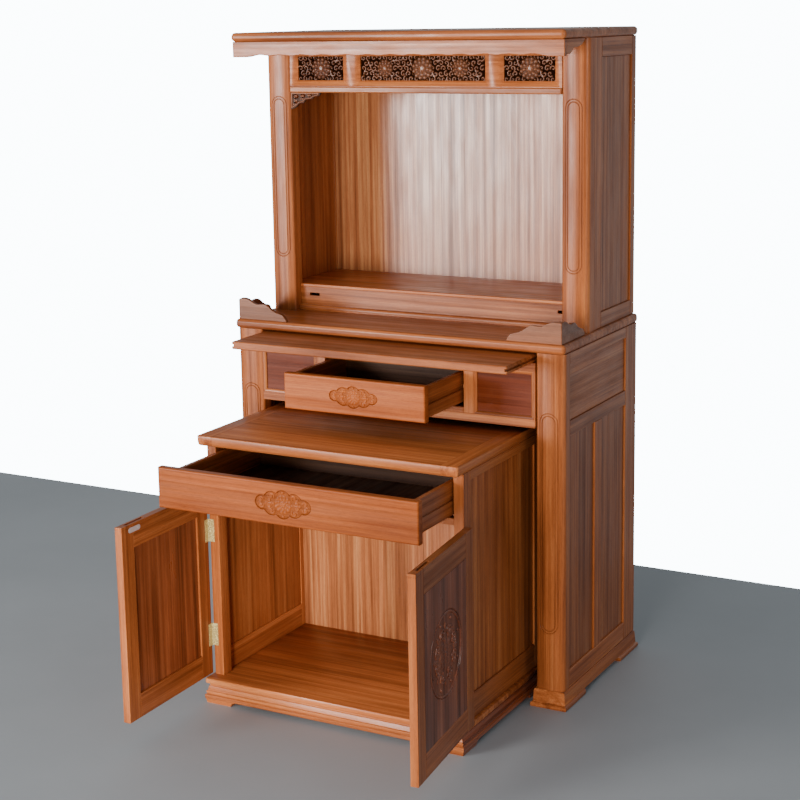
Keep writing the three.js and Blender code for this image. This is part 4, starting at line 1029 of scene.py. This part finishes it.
def hinges():
    for word, side in SIDES:
        pin = door_pin(word)
        for level in ("upper", "lower"):
            node = f"hinge_{word}_{level}"
            low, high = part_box(node)
            inner = low.x if side > 0 else high.x
            y_fixed = (pin.y + DOOR_FACE_GAP - FIXED_LEAF, pin.y + DOOR_FACE_GAP)
            y_turned = (-DOOR_FACE_GAP, -DOOR_FACE_GAP + TURNED_LEAF)
            leaf = (-side * LEAF_START, -side * (DOOR_PIN_GAP + HINGE_LEAF))
            fixed = Boards().block((inner, pin.x), y_fixed, (low.z, high.z), "xyz", node)
            turned = Boards().block(leaf, y_turned, (low.z, high.z), "xyz", node + "leaf")
            length = (high.z - low.z) / KNUCKLES
            for k in range(KNUCKLES):
                ends = (low.z + k * length + KNUCKLE_GAP, low.z + (k + 1) * length - KNUCKLE_GAP)
                fixed.prism(circle(pin.x, pin.y, KNUCKLE_RADIUS, 20), "z", ends, "xyz", f"{node}{k}")
            for k in range(3):
                z = low.z + (k + 0.5) * (high.z - low.z) / 3
                for boards, x, y, out in ((fixed, inner + side * FIXED_SCREW, y_fixed[0], -1),
                                          (turned, -side * TURNED_SCREW, y_turned[1], 1)):
                    boards.prism(circle(x, z, HEAD_RADIUS), "y", (y, y + out * HEAD_RISE), "xyz",
                                 f"{node}screw{k}")
            show(node + "_fixed", fixed.mesh(node), BRASS, "pullout_cabinet", (node,), 0.0002)
            show(node + "_leaf", swing(turned.mesh(node + "l"), word, side), BRASS, f"door_{word}", (),
                 0.0002)


# Camera, lights and floor

CAMERA_PLACE = (2.2918, -4.0739, 1.9381)
CAMERA_YAW, CAMERA_PITCH, CAMERA_ROLL = -0.5026, 0.1881, -0.0175
CAMERA_LENS = 76.53
CAMERA_SHIFT = (0.0114, -0.0788)
WORLD_LIGHT = 0.33
WORLD_SEEN = 14.0
FLOOR_REAR = 1.40
FLOOR_FRONT = -3.0
FLOOR_HALF = 9.0
SKY_COLOUR = (0.82, 0.93, 1.0, 1.0)
LAMP_COLOUR = (1.0, 0.98, 0.95)
# Name, place, aim, size, power and the rays that the lamp takes part in
LAMPS = (("key", (-3.7, -5.8, 1.6), (0.0, 0.0, 1.0), (2.4, 2.2), 420.0, "both"),
         ("upper", (-3.8, -5.9, 1.6), (0.0, 0.0, 1.7), (2.0, 0.8), 260.0, "glossy"),
         ("side", (4.6, -1.8, 0.5), (0.4, -0.4, 0.3), (0.8, 1.0), 12.0, "both"),
         ("rim", (4.8, -2.6, 2.4), (0.3, -0.6, 0.4), (0.6, 0.6), 90.0, "glossy"),
         ("front", (0.9, -6.4, 0.9), (0.0, 0.0, 0.5), (2.2, 2.2), 440.0, "diffuse"),
         ("backdrop", (1.0, 3.2, 1.7), (1.0, 0.0, 1.7), (9.0, 3.4), 30.0, "glossy"),
         ("inside", (1.3, -5.0, 0.5), (-0.29, -0.1, 0.32), (0.3, 0.3), 1200.0, "narrow"),
         ("top", (-1.0, -1.6, 4.2), (0.0, 0.0, 1.0), (2.4, 2.4), 14.0, "both"))


def studio():
    data = bpy.data.cameras.new("camera")
    data.sensor_width = 36.0
    data.lens = CAMERA_LENS
    data.shift_x, data.shift_y = CAMERA_SHIFT
    data.clip_end = 50.0
    camera = placed("camera", data)
    camera.matrix_world = (Matrix.Translation(CAMERA_PLACE) @ Matrix.Rotation(-CAMERA_YAW, 4, "Z")
                           @ Matrix.Rotation(math.pi / 2 - CAMERA_PITCH, 4, "X")
                           @ Matrix.Rotation(CAMERA_ROLL, 4, "Z"))
    bpy.context.scene.camera = camera

    for name, place, aim, size, power, part in LAMPS:
        lamp = bpy.data.lights.new(name, "SPOT" if part == "narrow" else "AREA")
        lamp.energy = power
        lamp.color = LAMP_COLOUR
        if part == "narrow":
            lamp.spot_size = math.radians(11)
            lamp.spot_blend = 1.0
            lamp.shadow_soft_size = size[0]
        else:
            lamp.shape = "RECTANGLE"
            lamp.size, lamp.size_y = size
        holder = placed(name, lamp)
        holder.location = place
        holder.rotation_euler = (Vector(aim) - Vector(place)).to_track_quat("-Z", "Y").to_euler()
        holder.visible_glossy = part in ("glossy", "both")
        holder.visible_diffuse = part != "glossy"
        holder.visible_camera = False

    world = bpy.data.worlds.new("studio")
    world.use_nodes = True
    tree = world.node_tree
    backdrop = tree.nodes["Background"]
    backdrop.inputs["Color"].default_value = SKY_COLOUR
    seen = tree.nodes.new("ShaderNodeLightPath").outputs["Is Camera Ray"]
    strength = tree.nodes.new("ShaderNodeMapRange")
    strength.inputs["To Min"].default_value = WORLD_LIGHT
    strength.inputs["To Max"].default_value = WORLD_SEEN
    tree.links.new(seen, strength.inputs["Value"])
    tree.links.new(strength.outputs["Result"], backdrop.inputs["Strength"])
    bpy.context.scene.world = world

    corners = [(-FLOOR_HALF, FLOOR_FRONT, 0), (FLOOR_HALF, FLOOR_FRONT, 0), (FLOOR_HALF, FLOOR_REAR, 0),
               (-FLOOR_HALF, FLOOR_REAR, 0)]
    n = Nodes("pale_floor")
    place = n.add("TexCoord").outputs["Object"]
    cloud = n.noise(place, (1.6, 1.6, 1.6), 5.0, 0.6)
    n.surface({"Base Color": n.mix(cloud, srgb(154, 157, 160), srgb(172, 175, 178)), "Roughness": 0.6})
    ground = placed("floor", Boards().add(corners, [(0, 1, 2, 3)], "xyz", "floor").mesh("floor"))
    ground.data.materials.append(n.material)


studio()
lower_body()
shrine_case()
drawer("small_drawer", 153, 63)
drawer("large_drawer", 171, 78)
pullout_cabinet()
for word, side in SIDES:
    door(word, side)
catch_plate()
hinges()
